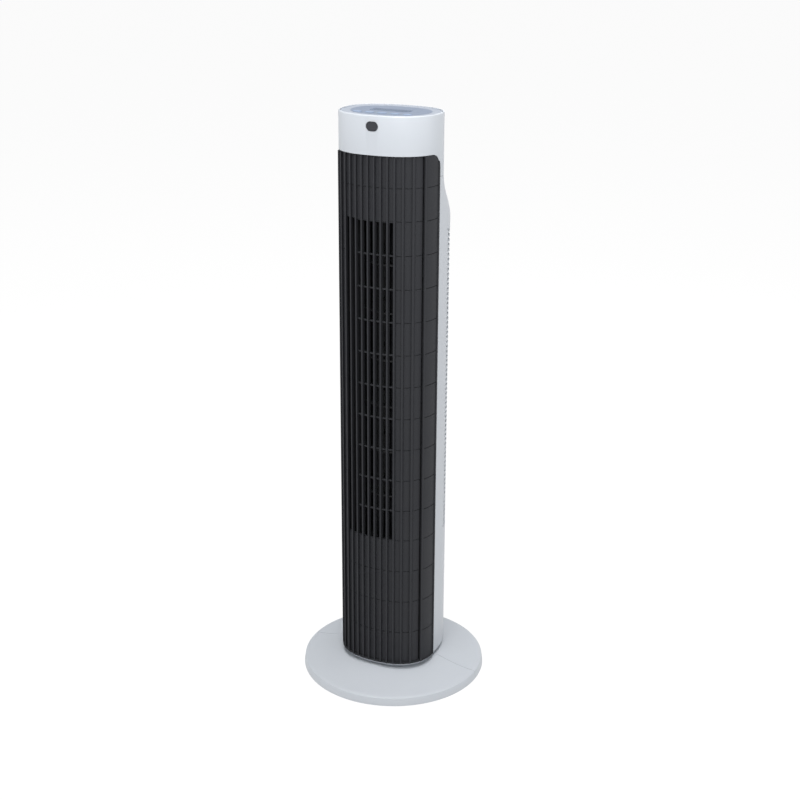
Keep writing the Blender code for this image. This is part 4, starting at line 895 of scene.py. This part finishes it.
# %% Finishes for the remaining frame nodes
by_slot = {"white_plastic": moulded_white_abs, "dark_plastic": moulded_charcoal_abs,
           "inner_plastic": moulded_black_pp, "impeller_plastic": moulded_black_pp,
           "panel_film": printed_grey_film, "dark_lens": smoked_acrylic,
           "button_plastic": moulded_grey_abs, "nylon": natural_nylon, "rubber": black_rubber,
           "steel": zinc_steel, "motor_steel": pressed_steel, "circuit_board": epoxy_board}
dressed = 0
for part in frame["record"]["subparts"]:
    obj = bpy.data.objects.get(part["node"])
    if obj and obj.type == "MESH":
        obj.data.materials.clear()
        obj.data.materials.append(by_slot[part["material_slot"]])
        dressed += 1
print("frame nodes dressed:", dressed)

# %% [markdown]
# ## Studio
# The fan stands on a white floor that runs out to pure white. A wide soft light high above does
# most of the work. A softer one from the front right gives the head its bright middle, weak ones
# at both sides and behind lift the edges, and the sky is white low down and grey overhead. A
# long lens, standing back, keeps the upright lines nearly parallel.

# %% Camera
LENS_MM = 62.19
scene = bpy.context.scene
camera_data = bpy.data.cameras.new("camera")
camera_data.lens = LENS_MM
camera_data.sensor_width = 36.0
camera = bpy.data.objects.new("camera", camera_data)
scene.collection.objects.link(camera)
scene.camera = camera
AROUND, DOWN, ASIDE, ROLL = (math.radians(angle) for angle in (25.7296, 19.7775, 0.241, 0.283))
DISTANCE, HEIGHT = 1.67307, 0.98109
ahead = Vector((math.sin(ASIDE) * math.cos(DOWN), math.cos(ASIDE) * math.cos(DOWN), -math.sin(DOWN)))
right = ahead.cross(Vector((0, 0, 1))).normalized()
above = right.cross(ahead)
rolled_right = right * math.cos(ROLL) + above * math.sin(ROLL)
rolled_up = above * math.cos(ROLL) - right * math.sin(ROLL)
looking = Matrix((rolled_right, rolled_up, -ahead)).transposed().to_4x4()
camera.matrix_world = (Matrix.Rotation(AROUND, 4, "Z") @ Matrix.Translation((0, -DISTANCE, HEIGHT))
                       @ looking)
print("camera at", [round(value, 4) for value in camera.matrix_world.translation])


# %% Lights and floor
def softbox(name, azimuth, height, distance, width, tall, power, aim):
    """A soft light; azimuth 0 is straight in front, positive towards +X."""
    data = bpy.data.lights.new(name, "AREA")
    data.shape = "RECTANGLE"
    data.size, data.size_y = width, tall
    data.energy = power
    lamp = bpy.data.objects.new(name, data)
    scene.collection.objects.link(lamp)
    angle = math.radians(azimuth)
    lamp.location = (distance * math.sin(angle), -distance * math.cos(angle), height)
    lamp.rotation_euler = (Vector(aim) - lamp.location).to_track_quat("-Z", "Y").to_euler()
    return lamp


key = softbox("key", 20, 1.5, 0.95, 0.7, 0.5, 7.8, (0, 0, 0.72))
side = softbox("side", 98, 1.0, 1.2, 0.4, 0.5, 0.9, (0, 0, 0.68))
fill = softbox("fill", -75, 1.0, 1.2, 0.4, 0.5, 0.3, (0, 0, 0.68))
overhead = softbox("overhead", 20, 3.4, 0.3, 2.0, 2.0, 84, (0, 0, 0))
rear = softbox("rear", 180, 1.3, 1.8, 0.8, 1.2, 3.0, (0, 0, 0.45))
world = bpy.data.worlds.new("studio")
world.use_nodes = True
sky = world.node_tree
direction = add_node(sky, "ShaderNodeTexCoord").outputs["Generated"]
upward = add_node(sky, "ShaderNodeSeparateXYZ", links={"Vector": direction}).outputs["Z"]
fade = add_node(sky, "ShaderNodeMapRange", {"interpolation_type": "SMOOTHSTEP"},
                {"From Min": 0.0, "From Max": 0.15, "To Min": 1.0, "To Max": 0.22}, {"Value": upward})
backdrop = sky.nodes["Background"]
backdrop.inputs["Color"].default_value = (1.0, 1.0, 1.0, 1.0)
sky.links.new(fade.outputs["Result"], backdrop.inputs["Strength"])
scene.world = world
scene.view_settings.view_transform = "Standard"

# %% [markdown]
# A plain pale floor with a soft finish. It is far wider than the fan, so its edge never shows,
# and like a light table it gives a little light of its own, which washes out the shadows.

# %% Floor
FLOOR_GLOW = 0.94              # just enough, with the lamps, to reach white
floor_mesh = bpy.data.meshes.new("floor")
ground = bmesh.new()
bmesh.ops.create_grid(ground, x_segments=1, y_segments=1, size=20.0)
ground.to_mesh(floor_mesh)
ground.free()
floor = bpy.data.objects.new("floor", floor_mesh)
scene.collection.objects.link(floor)
floor_paper = surface("white_light_table", "585858", 0.9, 400, "565656", 2.0, 0.005, 0.02, specular=0.0)
floor_shader = floor_paper.node_tree.nodes["Principled BSDF"]
floor_shader.inputs["Emission Color"].default_value = (1.0, 1.0, 1.0, 1.0)
floor_shader.inputs["Emission Strength"].default_value = FLOOR_GLOW
floor_mesh.materials.append(floor_paper)
